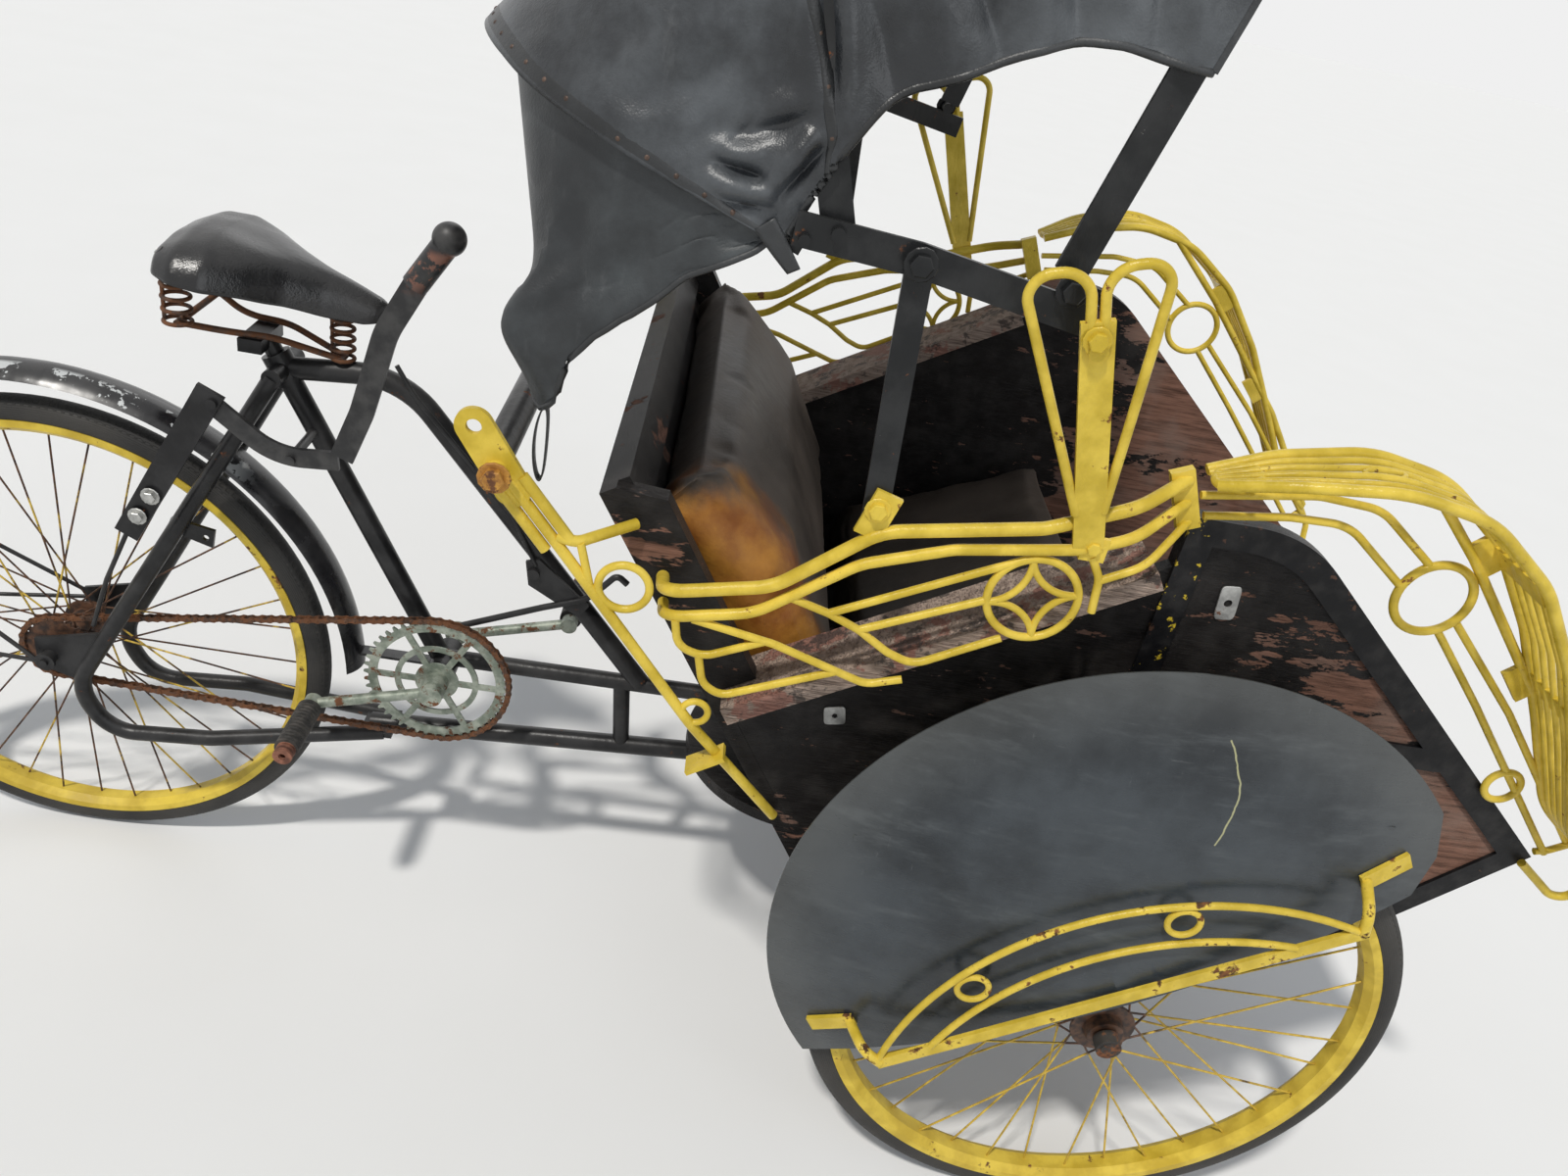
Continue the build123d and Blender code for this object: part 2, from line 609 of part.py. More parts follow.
def cab_floor():
    lean = math.radians(BACK_LEAN)
    rear_x = BACK_X + (BACK_T + SEAT_GAP) / math.cos(lean)
    toe = Vector(NOSE_X - TOE_X, NOSE_Z - FLOOR_Z).normalized()
    square = Vector(-toe.Y, toe.X)
    inner_toe = (TOE_X - FLOOR_T * math.tan(math.atan2(toe.Y, toe.X) / 2), FLOOR_Z + FLOOR_T)
    outline = [
        (rear_x, FLOOR_Z), (TOE_X, FLOOR_Z), (NOSE_X, NOSE_Z),
        (NOSE_X + square.X * FLOOR_T, NOSE_Z + square.Y * FLOOR_T), inner_toe,
        (rear_x - FLOOR_T * math.tan(lean), FLOOR_Z + FLOOR_T),
    ]
    save("cab_floor", across(outline, PANEL_Y - SEAT_GAP))


def cab_back():
    board = across([back_point(0, 0), back_point(BACK_LENGTH, 0), back_point(BACK_LENGTH, BACK_T),
                    back_point(0, BACK_T)], PANEL_Y + PANEL_T)
    arm_height = ARM_HEIGHT + ARM_BOARD_T + 1.5
    post_outline = [back_point(arm_height, BACK_T - 1), back_point(BACK_LENGTH, BACK_T - 1),
                    back_point(BACK_LENGTH - 30, BACK_POST), back_point(arm_height, BACK_POST)]
    post = side_plate(post_outline, PANEL_Y - 6, PANEL_T + 6)
    rail = across([back_point(BACK_LENGTH - 45, BACK_T - 1), back_point(BACK_LENGTH, BACK_T - 1),
                   back_point(BACK_LENGTH, BACK_T + 12), back_point(BACK_LENGTH - 45, BACK_T + 12)], PANEL_Y)
    save("cab_back", joined([board, rail, post, mirror(post, about=Plane.XZ)]))


SEAT_FRONT = (-18.0, 636.0)
SEAT_REAR = (-362.0, 502.0)
SEAT_BOARD_T = 14.0


def seat_box():
    run = Vector(SEAT_FRONT[0] - SEAT_REAR[0], SEAT_FRONT[1] - SEAT_REAR[1]).normalized()
    down = Vector(run.Y, -run.X) * SEAT_BOARD_T
    half = PANEL_Y - SEAT_GAP
    board = across([SEAT_REAR, SEAT_FRONT, (SEAT_FRONT[0] + down.X, SEAT_FRONT[1] + down.Y),
                    (SEAT_REAR[0] + down.X, SEAT_REAR[1] + down.Y)], half)
    floor = FLOOR_Z + FLOOR_T + SEAT_GAP
    front = across([(SEAT_FRONT[0] - 22, floor), (SEAT_FRONT[0] - 8, floor),
                    (SEAT_FRONT[0] - 8, SEAT_FRONT[1] - 14), (SEAT_FRONT[0] - 22, SEAT_FRONT[1] - 14)], half)
    save("seat_box", joined([board, front]))


def cushions():
    lift = SEAT_GAP
    half = 345.0
    seat = across([
        (SEAT_REAR[0] + 8, SEAT_REAR[1] + 4 + lift), (SEAT_FRONT[0], SEAT_FRONT[1] + lift),
        (SEAT_FRONT[0] - 6, 712), (-335, 566),
    ], half)
    save("seat_cushion", fillet(seat.edges().filter_by(Axis.Y).sort_by(Axis.Z)[-2:], 14))
    low = 108.0
    front_t = BACK_T + 1
    back = across([
        back_point(low, front_t), back_point(BACK_LENGTH - 52, front_t), back_point(BACK_LENGTH - 30, front_t + 60),
        back_point(330, front_t + 96), back_point(low + 30, front_t + 82),
    ], half)
    save("back_cushion", fillet(back.edges().filter_by(Axis.Y).sort_by(Axis.X)[-3:], 14))


def armrests():
    outline = [
        arm_line(0.001, SEAT_GAP), arm_line(0.985, SEAT_GAP),
        arm_line(0.985, ARM_BOARD_T), arm_line(0.001, ARM_BOARD_T),
    ]
    board = side_plate(outline, ARM_BOARD_IN, ARM_BOARD_OUT - ARM_BOARD_IN)
    save_pair("armrest", board)


def underframe():
    rail_h = 34.0
    rail_top = FLOOR_Z - SEAT_GAP
    rail_z = rail_top - rail_h / 2
    rails = [Pos(-75, y, rail_z) * Box(640, 26, rail_h) for y in (-120, 120)]
    crossbar = Pos(KINGPIN_X, 0, rail_top - 5) * Box(90, 640, 10)
    swivel = Pos(KINGPIN_X, 0, rail_top - 16) * Cylinder(55, 22)
    race_from = HEAD_TOP + 1
    race_to = rail_top - 20
    race = Pos(KINGPIN_X, 0, (race_from + race_to) / 2) * Cylinder(HEAD_D / 2, race_to - race_from)
    kingpin_bottom = HEAD_BOTTOM - 24
    kingpin_top = rail_top - 10
    kingpin = Pos(KINGPIN_X, 0, (kingpin_bottom + kingpin_top) / 2) * Cylinder(
        KINGPIN_D / 2, kingpin_top - kingpin_bottom)
    nut = Pos(KINGPIN_X, 0, HEAD_BOTTOM - 9) * Cylinder(17, 16)
    axle = pin(0, TYRE_R, -AXLE_HALF, AXLE_HALF, AXLE_D)
    hangers = []
    for y in (-330, -120, 120, 330):
        hangers.append(Pos(0, y, (rail_top + TYRE_R) / 2) * Box(44, 10, rail_top - TYRE_R))
    beams = [Pos(0, 0, rail_top - 5) * Box(50, 700, 10)]
    collar_y = HALF_TRACK - 40 - 2 * PIN_GAP - 8
    collars = []
    for side in (-1, 1):
        collars.append(pin(0, TYRE_R, side * collar_y - 8, side * collar_y + 8, 34))
        collars.append(pin(0, TYRE_R, side * 491 - 8, side * 491 + 8, 30))
    save("cab_underframe", joined(rails + [crossbar, swivel, race, kingpin, nut, axle] + hangers + beams + collars))


# Wheel covers

def cover_place():
    """Moves a piece drawn around the cover's centre, with its lower edge level, to its place on the right."""
    return Pos(COVER_X, 0, COVER_Z) * Rot(0, -COVER_TILT, 0)


DISH_DEPTH = COVER_APEX_Y - COVER_RIM_Y
DISH_SPHERE = (COVER_R**2 + DISH_DEPTH**2) / (2 * DISH_DEPTH)


def dish_y(radius):
    """How far out the dish lies at a radius from its centre."""
    return COVER_APEX_Y - (DISH_SPHERE - math.sqrt(DISH_SPHERE**2 - radius**2))


def wheel_covers():
    middle = COVER_R / 2
    outer = ThreePointArc((-COVER_APEX_Y, 0), (-dish_y(middle), middle), (-COVER_RIM_Y, COVER_R))
    inner = ThreePointArc(
        (-COVER_RIM_Y + COVER_T, COVER_R), (-dish_y(middle) + COVER_T, middle), (-COVER_APEX_Y + COVER_T, 0)
    )
    profile = make_face([outer, Line(outer @ 1, inner @ 0), inner, Line(inner @ 1, outer @ 0)])
    dish = turned(profile)
    below = Pos(0, -COVER_APEX_Y, -COVER_EDGE - COVER_R) * Box(4 * COVER_R, 2 * COVER_APEX_Y, 2 * COVER_R)
    corner = across([(383, 84), (359, 7), (318, -34), (COVER_R + 40, -34), (COVER_R + 40, 84)], 2 * COVER_APEX_Y)
    dish = dish - below - corner
    dish = cover_place() * dish
    stays = []
    for x, z, width, height in ((-42, 792, 26, 4), (-352, 590, 4, 26), (176, 716, 26, 4)):
        radius = math.hypot(x - COVER_X, z - COVER_Z)
        inner_y = PANEL_Y + PANEL_T + SEAT_GAP
        outer_y = dish_y(radius) - COVER_T / 2
        stays.append(Pos(x, -(inner_y + outer_y) / 2, z) * Box(width, outer_y - inner_y, height))
    save_pair("wheel_cover", joined([dish] + stays))


def arc_rod(centre_x, centre_z, radius, from_deg, to_deg, y, diameter):
    """A round bar along an arc that faces sideways."""
    points = []
    for share in (0.0, 0.5, 1.0):
        angle = math.radians(from_deg + (to_deg - from_deg) * share)
        points.append((centre_x + radius * math.cos(angle), -y, centre_z + radius * math.sin(angle)))
    path = ThreePointArc(*points)
    return sweep(Plane(origin=path @ 0, z_dir=path % 0) * Circle(diameter / 2), path)


def cover_ornaments():
    y = COVER_APEX_Y + 7
    bar_t = 5.0
    left, right = -280.0, 262.0
    bar = Pos((left + right) / 2, -y, -4) * Box(right - left, bar_t, 15)
    pieces = [bar]
    for end, side in ((left, -1), (right, 1)):
        tab_x = end + side * 40
        tab_y = dish_y(math.hypot(tab_x, 28)) + bar_t / 2 + 2 * SEAT_GAP
        slope = math.degrees(math.asin(tab_x / DISH_SPHERE))
        foot = [(end - side * 4, -y, -4), (end + side * 6, -y, 22), (end + side * 18, -tab_y - 6, 28)]
        pieces.append(rod(foot, 12, 20))
        pieces.append(Pos(tab_x, -tab_y, 28) * Rot(0, 0, slope) * Box(56, bar_t, 20))
    for chord, rise, shift in ((530, 122, -12), (404, 66, -12)):
        radius = ((chord / 2) ** 2 + rise**2) / (2 * rise)
        half_angle = math.degrees(math.asin(chord / 2 / radius))
        pieces.append(arc_rod(shift, rise - radius, radius, 90 - half_angle, 90 + half_angle, y, THIN_D))
    for x, z in ((-141, 72), (90, 82)):
        pieces.append(ring(x, -y, z, 17, 7))
    save_pair("cover_ornament", cover_place() * joined(pieces))


# Ironwork

def side_rails():
    y = -IRON_Y
    pieces = [
        rod([(-590, -396, 827), (-588, y, 840), (-487, y, 864), (-400, y, 940), (-255, y, 970), (-175, -438, 1003),
             (-126, -POST_Y, 1024)], RAIL_D, 70),
        rod([(-586, -396, 798), (-584, y, 812), (-500, y, 832), (-412, y, 903), (-330, y, 934), (-215, y, 955),
             (-168, -438, 972), (-119, -POST_Y, 1002)], LOWER_RAIL_D, 70),
    ]
    # Rods of the openwork panel under the rails, as X, Z points.
    for points in (
        [(-470, 856), (-430, 845), (-398, 832), (-366, 812), (-338, 802), (-262, 848)],
        [(-430, 845), (-262, 936)],
        [(-398, 832), (-289, 886)],
        [(-366, 812), (-280, 862)],
        [(-556, 815), (-475, 801), (-378, 771), (-344, 783)],
        [(-572, 812), (-566, 782), (-540, 774), (-484, 802)],
        [(-545, 778), (-536, 742), (-516, 731), (-410, 780)],
        [(-204, 950), (-190, 928), (-186, 892)],
    ):
        pieces.append(rod(side_points(points, IRON_Y), THIN_D, 30))
    pieces.append(rod([(-190, y, 926), (-150, -440, 946), (-110, -POST_Y, 984)], THIN_D, 60))
    pieces += rosette(-245, 896, 43)
    pieces.append(Pos(-205, y, 958) * Box(24, 5, 24))
    pieces.append(Pos(-407, y, 956) * Rot(0, 16, 0) * Box(26, 5, 46))
    pieces.append(Pos(-122, -POST_Y + 1.1, 1004) * Rot(0, -25, 0) * Box(22, 10.2, 62))
    pieces += heart()
    save_pair("side_rail", joined(pieces))


def rosette(x, z, radius):
    """A ring with four petals, each cut off by an arc that bows inwards."""
    pieces = [ring(x, -IRON_Y, z, radius, THIN_D)]
    reach = radius * math.sqrt(2)
    for number in range(4):
        middle = 60 + 90 * number
        centre_x = x + reach * math.cos(math.radians(middle))
        centre_z = z + reach * math.sin(math.radians(middle))
        pieces.append(arc_rod(centre_x, centre_z, radius, middle + 135, middle + 225, IRON_Y, THIN_D - 1))
    return pieces


HEART_LEAN = 17.5         # degrees rearward
HEART_SPLAY = 8.0         # degrees outward
HEART_BAR = 28.0
HEART_HEIGHT = 192.0


def heart():
    """A flat bar between two teardrop loops, leaning back and outwards from the rail."""
    bar = Pos(0, 0, HEART_HEIGHT / 2 - 18) * Box(HEART_BAR, 6, HEART_HEIGHT + 36)
    pieces = [bar]
    for side in (-1, 1):
        path = [(side * 12, 0.5, 4), (side * 60, 0.5, 236), (side * 5.6, 0.5, 236), (side * 5.6, 0.5, 176)]
        pieces.append(rod(path, 9, 27))
    pieces.append(Pos(0, -5, HEART_HEIGHT - 24) * Rot(90, 0, 0) * Cylinder(8, 8))
    place = Pos(-222, -IRON_Y - 6, 992) * Rot(HEART_SPLAY, 0, 0) * Rot(0, -HEART_LEAN, 0)
    return [place * piece for piece in pieces]


WING_Y = PANEL_Y + PANEL_T + SEAT_GAP + BAND_T + SEAT_GAP + THIN_D / 2

# Run of the front wing, as X, Z points, and how far its bars spread outwards there.
WING_RUN = (
    (-112, 1036, 34), (-56, 1061, 66), (30, 1080, 86), (112, 1066, 86), (192, 1012, 84), (262, 930, 78),
    (330, 828, 68), (398, 720, 54), (452, 680, 40),
)


def wings():
    pieces = []
    bars = 6
    for number in range(bars):
        share = number / (bars - 1)
        diameter = 11 if number in (0, bars - 1) else 6.5
        points = [(x, -WING_Y - share * spread, z) for x, z, spread in WING_RUN]
        pieces.append(rod(points, diameter, 120))
    side = WING_Y
    for points in (
        [(-108, 1010), (2, 1029), (66, 1026), (140, 976)],
        [(-98, 990), (-17, 1003), (42, 1005), (118, 952)],
        [(176, 912), (262, 829), (436, 652)],
        [(192, 922), (301, 826), (456, 668)],
    ):
        pieces.append(rod(side_points(points, side), THIN_D, 60))
    pieces.append(rod(side_points([(90, 1068), (176, 992), (335, 832), (452, 684)], side), 10, 60))
    pieces.append(ring(157, -side - 0.7, 944, 38, THIN_D + 1))
    pieces.append(ring(341, -side - 0.9, 735, 19, THIN_D))
    pieces.append(Pos(-92, -WING_Y - 24, 1043) * Rot(0, -22, 0) * Torus(20, 4.2))
    for x, z, spread in ((196, 1002, 78), (302, 872, 66)):
        pieces.append(Pos(x, -WING_Y - spread / 2, z) * Rot(0, 50, 0) * Box(26, spread, 5))
        pieces.append(Pos(x - 12, -side, z - 6) * Rot(0, 45, 0) * Box(42, 6, 22))
    pieces.append(rod([(424, -side, 652), (438, -side, 656), (456, -side - 4, 674), (458, -430, 684)], THIN_D, 12))
    pieces.append(rod([(418, -side - 1.2, 634), (488, -side - 4, 584), (486, -424, 640), (454, -426, 682)], 10, 14))
    save_pair("wing", joined(pieces))


def handlebar():
    plate_y = BRACKET_PLATE_Y
    bar = pin(HANDLEBAR_X, HANDLEBAR_Z, -plate_y + SEAT_GAP, plate_y - SEAT_GAP, HANDLEBAR_D)
    save("handlebar", bar)
    plate = extrude(
        side_plane(-plate_y) * Pos(*BRACKET_PLATE) * Rot(0, 0, EYE_ANGLE) * SlotCenterToCenter(EYE_SPAN, 34),
        BRACKET_PLATE_T,
    )
    plate -= pin(*EYE_HOLE, -plate_y - 20, -plate_y + 10, EYE_HOLE_D)
    y = IRON_Y
    pieces = [plate, pin(HANDLEBAR_X + 6, HANDLEBAR_Z - 2, -plate_y - 15, -plate_y - 5, 22)]
    for shift in (-11, 0, 11):
        pieces.append(rod(side_points([(-736 + shift, 930 + shift * 0.6), (-688 + shift, 872 + shift * 0.6)], y), 11))
    pieces.append(rod([(-688, -y, 872), (-540, -y, 690), (-430, -BESIDE_BACK, 545)], 11, 100))
    pieces.append(rod([(-690, -y, 882), (-672, -y, 878), (-622, -BESIDE_BACK, 882)], 11, 30))
    pieces.append(rod(side_points([(-668, 878), (-655, 832)], y), 8))
    pieces.append(ring(-624, -y, 838, 24, 8))
    pieces.append(ring(-538, -y, 706, 13, 7))
    pieces.append(Pos(-518, -y + 10, 640) * Rot(0, -35, 0) * Box(44, 26, 5))
    save_pair("handlebar_bracket", joined(pieces))


# Hood

def bow_top(foot, angle_deg, length):
    angle = math.radians(angle_deg)
    return foot[0] + length * math.cos(angle), foot[1] + length * math.sin(angle)


# Each row: foot, angle from straight ahead, distance from the foot to the middle of the top, and the
# most that the cloth slopes across the bow's flat bar, in degrees.
BOWS = (
    ((FRONT_FOOT_X, FRONT_FOOT_Z), 76.0, 396.0, 22.0),
    ((MIDDLE_FOOT_X, MIDDLE_FOOT_Z), 107.5, 385.0, 43.0),
    ((REAR_FOOT_X, REAR_FOOT_Z), 160.0, 298.0, 22.0),
)


def hoop_plane(foot, angle_deg):
    """A plane with its origin between the feet of a bow, its X across the cab and its Y up along the bow."""
    angle = math.radians(angle_deg)
    return Plane(origin=(foot[0], 0, foot[1]), x_dir=(0, 1, 0), z_dir=(math.sin(angle), 0, -math.cos(angle)))


def bow(foot, angle_deg, length):
    """A flat bar bent to a hoop over the cab, from one side's foot to the other's."""
    top_x, top_z = bow_top(foot, angle_deg, length)
    points = [
        (foot[0], -BOW_HALF, foot[1]), (top_x, -BOW_HALF, top_z),
        (top_x, BOW_HALF, top_z), (foot[0], BOW_HALF, foot[1]),
    ]
    path = FilletPolyline(*points, radius=BOW_BEND)
    angle = math.radians(angle_deg)
    section = Plane(origin=path @ 0, x_dir=(math.sin(angle), 0, -math.cos(angle)), z_dir=path % 0)
    return sweep(section * Rectangle(BOW_W, BOW_T), path)


def hood_frame():
    for name, (foot, angle_deg, length, _) in zip(("front", "middle", "rear"), BOWS):
        save(f"hood_bow_{name}", bow(foot, angle_deg, length))


def hood_links():
    bar_t = 5.0
    strut_y = IRON_Y - bar_t - SEAT_GAP
    link_y = strut_y - bar_t
    bow_face = BOW_HALF + BOW_T / 2 + SEAT_GAP
    link_line = [(-528, 1191), (PIVOT_X, PIVOT_Z), (-272, 1160)]
    link = flat_bar(side_points(link_line, link_y), 28, bar_t, (0, 0, 1), 60)
    strut = flat_bar(side_points([(PIVOT_X, PIVOT_Z), (-409, 950)], strut_y), 24, bar_t, (1, 0, 0))
    pieces = [link, strut, pin(PIVOT_X, PIVOT_Z, -strut_y - 9, -link_y, 14)]
    # Each row: the pin's place on the link and on a bow's leg, and its diameter.
    for x, z, diameter in ((FRONT_FOOT_X, FRONT_FOOT_Z - 8, 14), (-493, 1193, 12), (-519, 1184, 10)):
        pieces.append(pin(x, z, -link_y - 9, -bow_face, diameter))
    save_pair("hood_link", joined(pieces))


def hoop_band(plane, half, top, radius, thick):
    """A U-shaped strip drawn in a bow's plane, given its outer half width, height and corner radius."""
    outer = FilletPolyline((-half, 0), (-half, top), (half, top), (half, 0), radius=radius)
    inner_half = half - thick
    inner_top = top - thick
    inner = FilletPolyline(
        (inner_half, 0), (inner_half, inner_top), (-inner_half, inner_top), (-inner_half, 0), radius=radius - thick
    )
    return plane * make_face([outer, Line(outer @ 1, inner @ 0), inner, Line(inner @ 1, outer @ 0)])


def height_in(foot, angle_deg, start, end):
    """How far along a bow's direction from the foot it meets the line through two points."""
    angle = math.radians(angle_deg)
    run_x, run_z = end[0] - start[0], end[1] - start[1]
    off_x, off_z = start[0] - foot[0], start[1] - foot[1]
    return (off_x * run_z - off_z * run_x) / (math.cos(angle) * run_z - math.sin(angle) * run_x)


def cloth_over(bow_row):
    """How high above a bow's middle line the outer face of the cloth passes, resting on the bar's edge."""
    return BOW_T / 2 + BOW_W / 2 * math.tan(math.radians(bow_row[3])) + SEAT_GAP + CLOTH_T


def canopy():
    half = BOW_HALF + BOW_T / 2 + SEAT_GAP + CLOTH_T
    radius = BOW_BEND + BOW_T / 2 + SEAT_GAP + CLOTH_T
    front, middle, rear = [bow_top(row[0], row[1], row[2] + cloth_over(row)) for row in BOWS]
    sections = []
    # Each row: the bow, how far the section lies ahead of it, and the line of the roof that it ends.
    for place, ahead, line in ((BOWS[0], CLOTH_AHEAD, (middle, front)), (BOWS[1], 0.0, None),
                               (BOWS[2], -BOW_W / 2, (middle, rear))):
        foot, angle_deg, length, _ = place
        angle = math.radians(angle_deg)
        foot = (foot[0] + ahead * math.sin(angle), foot[1] - ahead * math.cos(angle))
        top = height_in(foot, angle_deg, *line) if line else length + cloth_over(place)
        sections.append(hoop_band(hoop_plane(foot, angle_deg), half, top, radius, CLOTH_T))
    shell = loft(sections, ruled=True)
    # Lower edge of the side cloth, from the rear bow's foot forward to the front bow.
    hem = [(-537, 1150), (-534, 1176), (-520, 1212), (-501, 1259), (-477, 1285), (-431, 1317), (-338, 1343),
           (-235, 1366), (-150, 1385), (-150, 1100), (-537, 1100)]
    save("hood_canopy", shell - across(hem, half + 10))


def curtain():
    foot, angle_deg, length, _ = BOWS[2]
    inside = BOW_T / 2 + SEAT_GAP
    half, top, radius = BOW_HALF - inside, length - inside, BOW_BEND - inside
    band = hoop_band(hoop_plane(foot, angle_deg), half, top, radius, CLOTH_T)
    cloth = extrude(band, 330, dir=(0.28, 0, -0.96))
    below = [(-400, 1300), (-540, 1186), (-552, 1164), (-611, 1129), (-655, 1078), (-708, 992), (-716, 986),
             (-724, 990), (-860, 1040), (-860, 800), (-400, 800)]
    save("rear_curtain", cloth - across(below, BOW_HALF))


rear_wheel()
front_wheels()
rear_frame()
turntable_disc()
rear_mudguard()
mudguard_stays()
saddle()
brake()
lever_linkage()
chain()
crank_set()
side_panels()
edge_bands()
cab_floor()
cab_back()
seat_box()
cushions()
armrests()
underframe()
wheel_covers()
cover_ornaments()
side_rails()
wings()
handlebar()
hood_frame()
hood_links()
canopy()
curtain()
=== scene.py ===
import math
import bpy
import numpy as np
from mathutils import Matrix, Vector


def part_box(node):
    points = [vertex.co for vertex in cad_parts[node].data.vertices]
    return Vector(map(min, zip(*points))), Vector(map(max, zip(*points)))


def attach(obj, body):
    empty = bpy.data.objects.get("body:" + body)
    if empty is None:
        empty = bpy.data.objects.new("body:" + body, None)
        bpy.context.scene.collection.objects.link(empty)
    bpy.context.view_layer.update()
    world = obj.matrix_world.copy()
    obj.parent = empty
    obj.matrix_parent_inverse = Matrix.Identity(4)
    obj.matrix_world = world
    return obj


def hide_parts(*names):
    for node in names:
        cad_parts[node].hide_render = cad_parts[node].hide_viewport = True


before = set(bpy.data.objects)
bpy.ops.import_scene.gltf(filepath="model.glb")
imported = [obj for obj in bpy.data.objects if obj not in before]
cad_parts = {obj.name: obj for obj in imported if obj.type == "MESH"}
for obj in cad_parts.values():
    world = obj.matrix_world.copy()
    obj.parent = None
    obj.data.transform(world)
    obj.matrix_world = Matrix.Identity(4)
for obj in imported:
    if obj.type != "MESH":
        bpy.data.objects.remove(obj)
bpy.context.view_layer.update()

# Metres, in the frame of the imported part: X forward, Y to the rider's left, Z up from the floor.
# SHIFT takes X measured from the front axle to X measured from the middle of the vehicle.
SHIFT = 0.650
AXLE_Z = 0.352
REAR_AXLE_X = -1.395 + SHIFT
FRONT_AXLE_X = SHIFT
CRANK = (-0.883 + SHIFT, 0.388)
HOOD_HALF = 0.4258
SIDES = ((-1, "right"), (1, "left"))
rng = np.random.default_rng(7)


# Meshes

def mesh_object(name, points, faces, body, material, smooth=True):
    """A piece of a body, from points and a list of arrays of faces. The faces of one array have as many
    corners each."""
    corners = [face for part in faces for face in part.tolist()]
    mesh = bpy.data.meshes.new(name)
    mesh.from_pydata(np.reshape(points, (-1, 3)).tolist(), [], corners)
    mesh.polygons.foreach_set("use_smooth", np.full(len(corners), smooth))
    mesh.update()
    mesh.validate()
    mesh.materials.append(material)
    obj = bpy.data.objects.new(name, mesh)
    bpy.context.scene.collection.objects.link(obj)
    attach(obj, body)
    return obj


def grid_faces(rows, columns, around=False):
    """Quads between neighbours of a grid of rows by columns. With around, the last column joins the first."""
    r = np.arange(rows - 1)[:, None]
    c = np.arange(columns if around else columns - 1)[None, :]
    following = (c + 1) % columns
    quads = np.stack([r * columns + c, r * columns + following,
                      (r + 1) * columns + following, (r + 1) * columns + c], -1)
    return quads.reshape(-1, 4)


def repeated(faces, points_each, count):
    """The faces of one small form, again for each of its copies, whose points follow one another."""
    return np.concatenate([faces + points_each * n for n in range(count)])


def unit(vectors):
    """Vectors divided by their lengths."""
    return vectors / np.maximum(np.linalg.norm(vectors, axis=-1, keepdims=True), 1e-9)


def circle(count):
    """Cosines and sines of even steps round a circle, as two columns."""
    turn = np.linspace(0, 2 * math.pi, count, endpoint=False)
    return np.stack([np.cos(turn), np.sin(turn)], -1)


def ring_square_to(way, sides):
    """For each direction the points of a circle of radius one in the plane square to it."""
    helper = np.where(np.abs(way[:, 2:3]) > 0.9, [[1.0, 0, 0]], [[0, 0, 1.0]])
    first = unit(np.cross(way, helper))
    second = np.cross(way, first)
    cos, sin = circle(sides).T[..., None]
    return first[:, None] * cos + second[:, None] * sin


def grid_normals(grid):
    """At each grid point the cross product of the steps along the grid's two directions."""
    return unit(np.cross(np.gradient(grid, axis=0), np.gradient(grid, axis=1)))


def smooth_rows(values, times):
    """Each value becomes the mean of itself and its two neighbours, again and again, with the ends kept."""
    values = values.copy()
    for _ in range(times):
        values[1:-1] = (values[:-2] + values[1:-1] * 2 + values[2:]) / 4
    return values


def along(table, count, times=0):
    """A polyline given as rows of share, then coordinates, read at even steps of the share and smoothed."""
    table = np.asarray(table, float)
    share = np.linspace(0, 1, count)
    line = np.stack([np.interp(share, table[:, 0], column) for column in table.T[1:]], -1)
    return smooth_rows(line, times)


def travelled(path):
    """The length of a path up to each of its points."""
    return np.concatenate([[0], np.cumsum(np.linalg.norm(np.diff(path, axis=0), axis=1))])


def waves(u, v, amount, reach, count, seed):
    """A sum of sine waves of the two parameters, with directions, lengths and phases drawn by the seed."""
    draw = np.random.default_rng(seed)
    total = np.zeros(np.broadcast(u, v).shape)
    for _ in range(count):
        angle = draw.uniform(0, math.pi)
        rate = draw.uniform(*reach)
        phase = draw.uniform(0, 2 * math.pi)
        total += np.sin(2 * math.pi * rate * (u * math.cos(angle) + v * math.sin(angle)) + phase)
    return amount * total / math.sqrt(count)


def tube(name, path, radius, body, material, sides=10):
    """A round cord or bead: a circle carried along a path, square to it, and drawn in to a point at each
    end."""
    path = np.asarray(path, float)
    before = path[:1] + (path[:1] - path[1:2]) * 0.02
    after = path[-1:] + (path[-1:] - path[-2:-1]) * 0.02
    path = np.concatenate([before, path, after])
    rows = len(path)
    radii = np.full((rows, 1, 1), radius)
    radii[[0, -1]] *= 0.02
    rings = path[:, None] + radii * ring_square_to(unit(np.gradient(path, axis=0)), sides)
    k = np.arange(sides)
    following = (k + 1) % sides
    last = (rows - 1) * sides
    start = np.stack([k, following, np.full(sides, rows * sides)], -1)
    end = np.stack([last + following, last + k, np.full(sides, rows * sides + 1)], -1)
    points = np.concatenate([rings.reshape(-1, 3), before, after])
    faces = [grid_faces(rows, sides, around=True)[:, ::-1], start, end]
    return mesh_object(name, points, faces, body, material)


# A bolt head from the face it sits on to its end. Each row: radius and height as shares of the head's radius.
BOLT_PROFILE = ((1.45, 0.0), (1.45, 0.10), (1.36, 0.18), (1.0, 0.18), (1.0, 0.72), (0.88, 0.82))


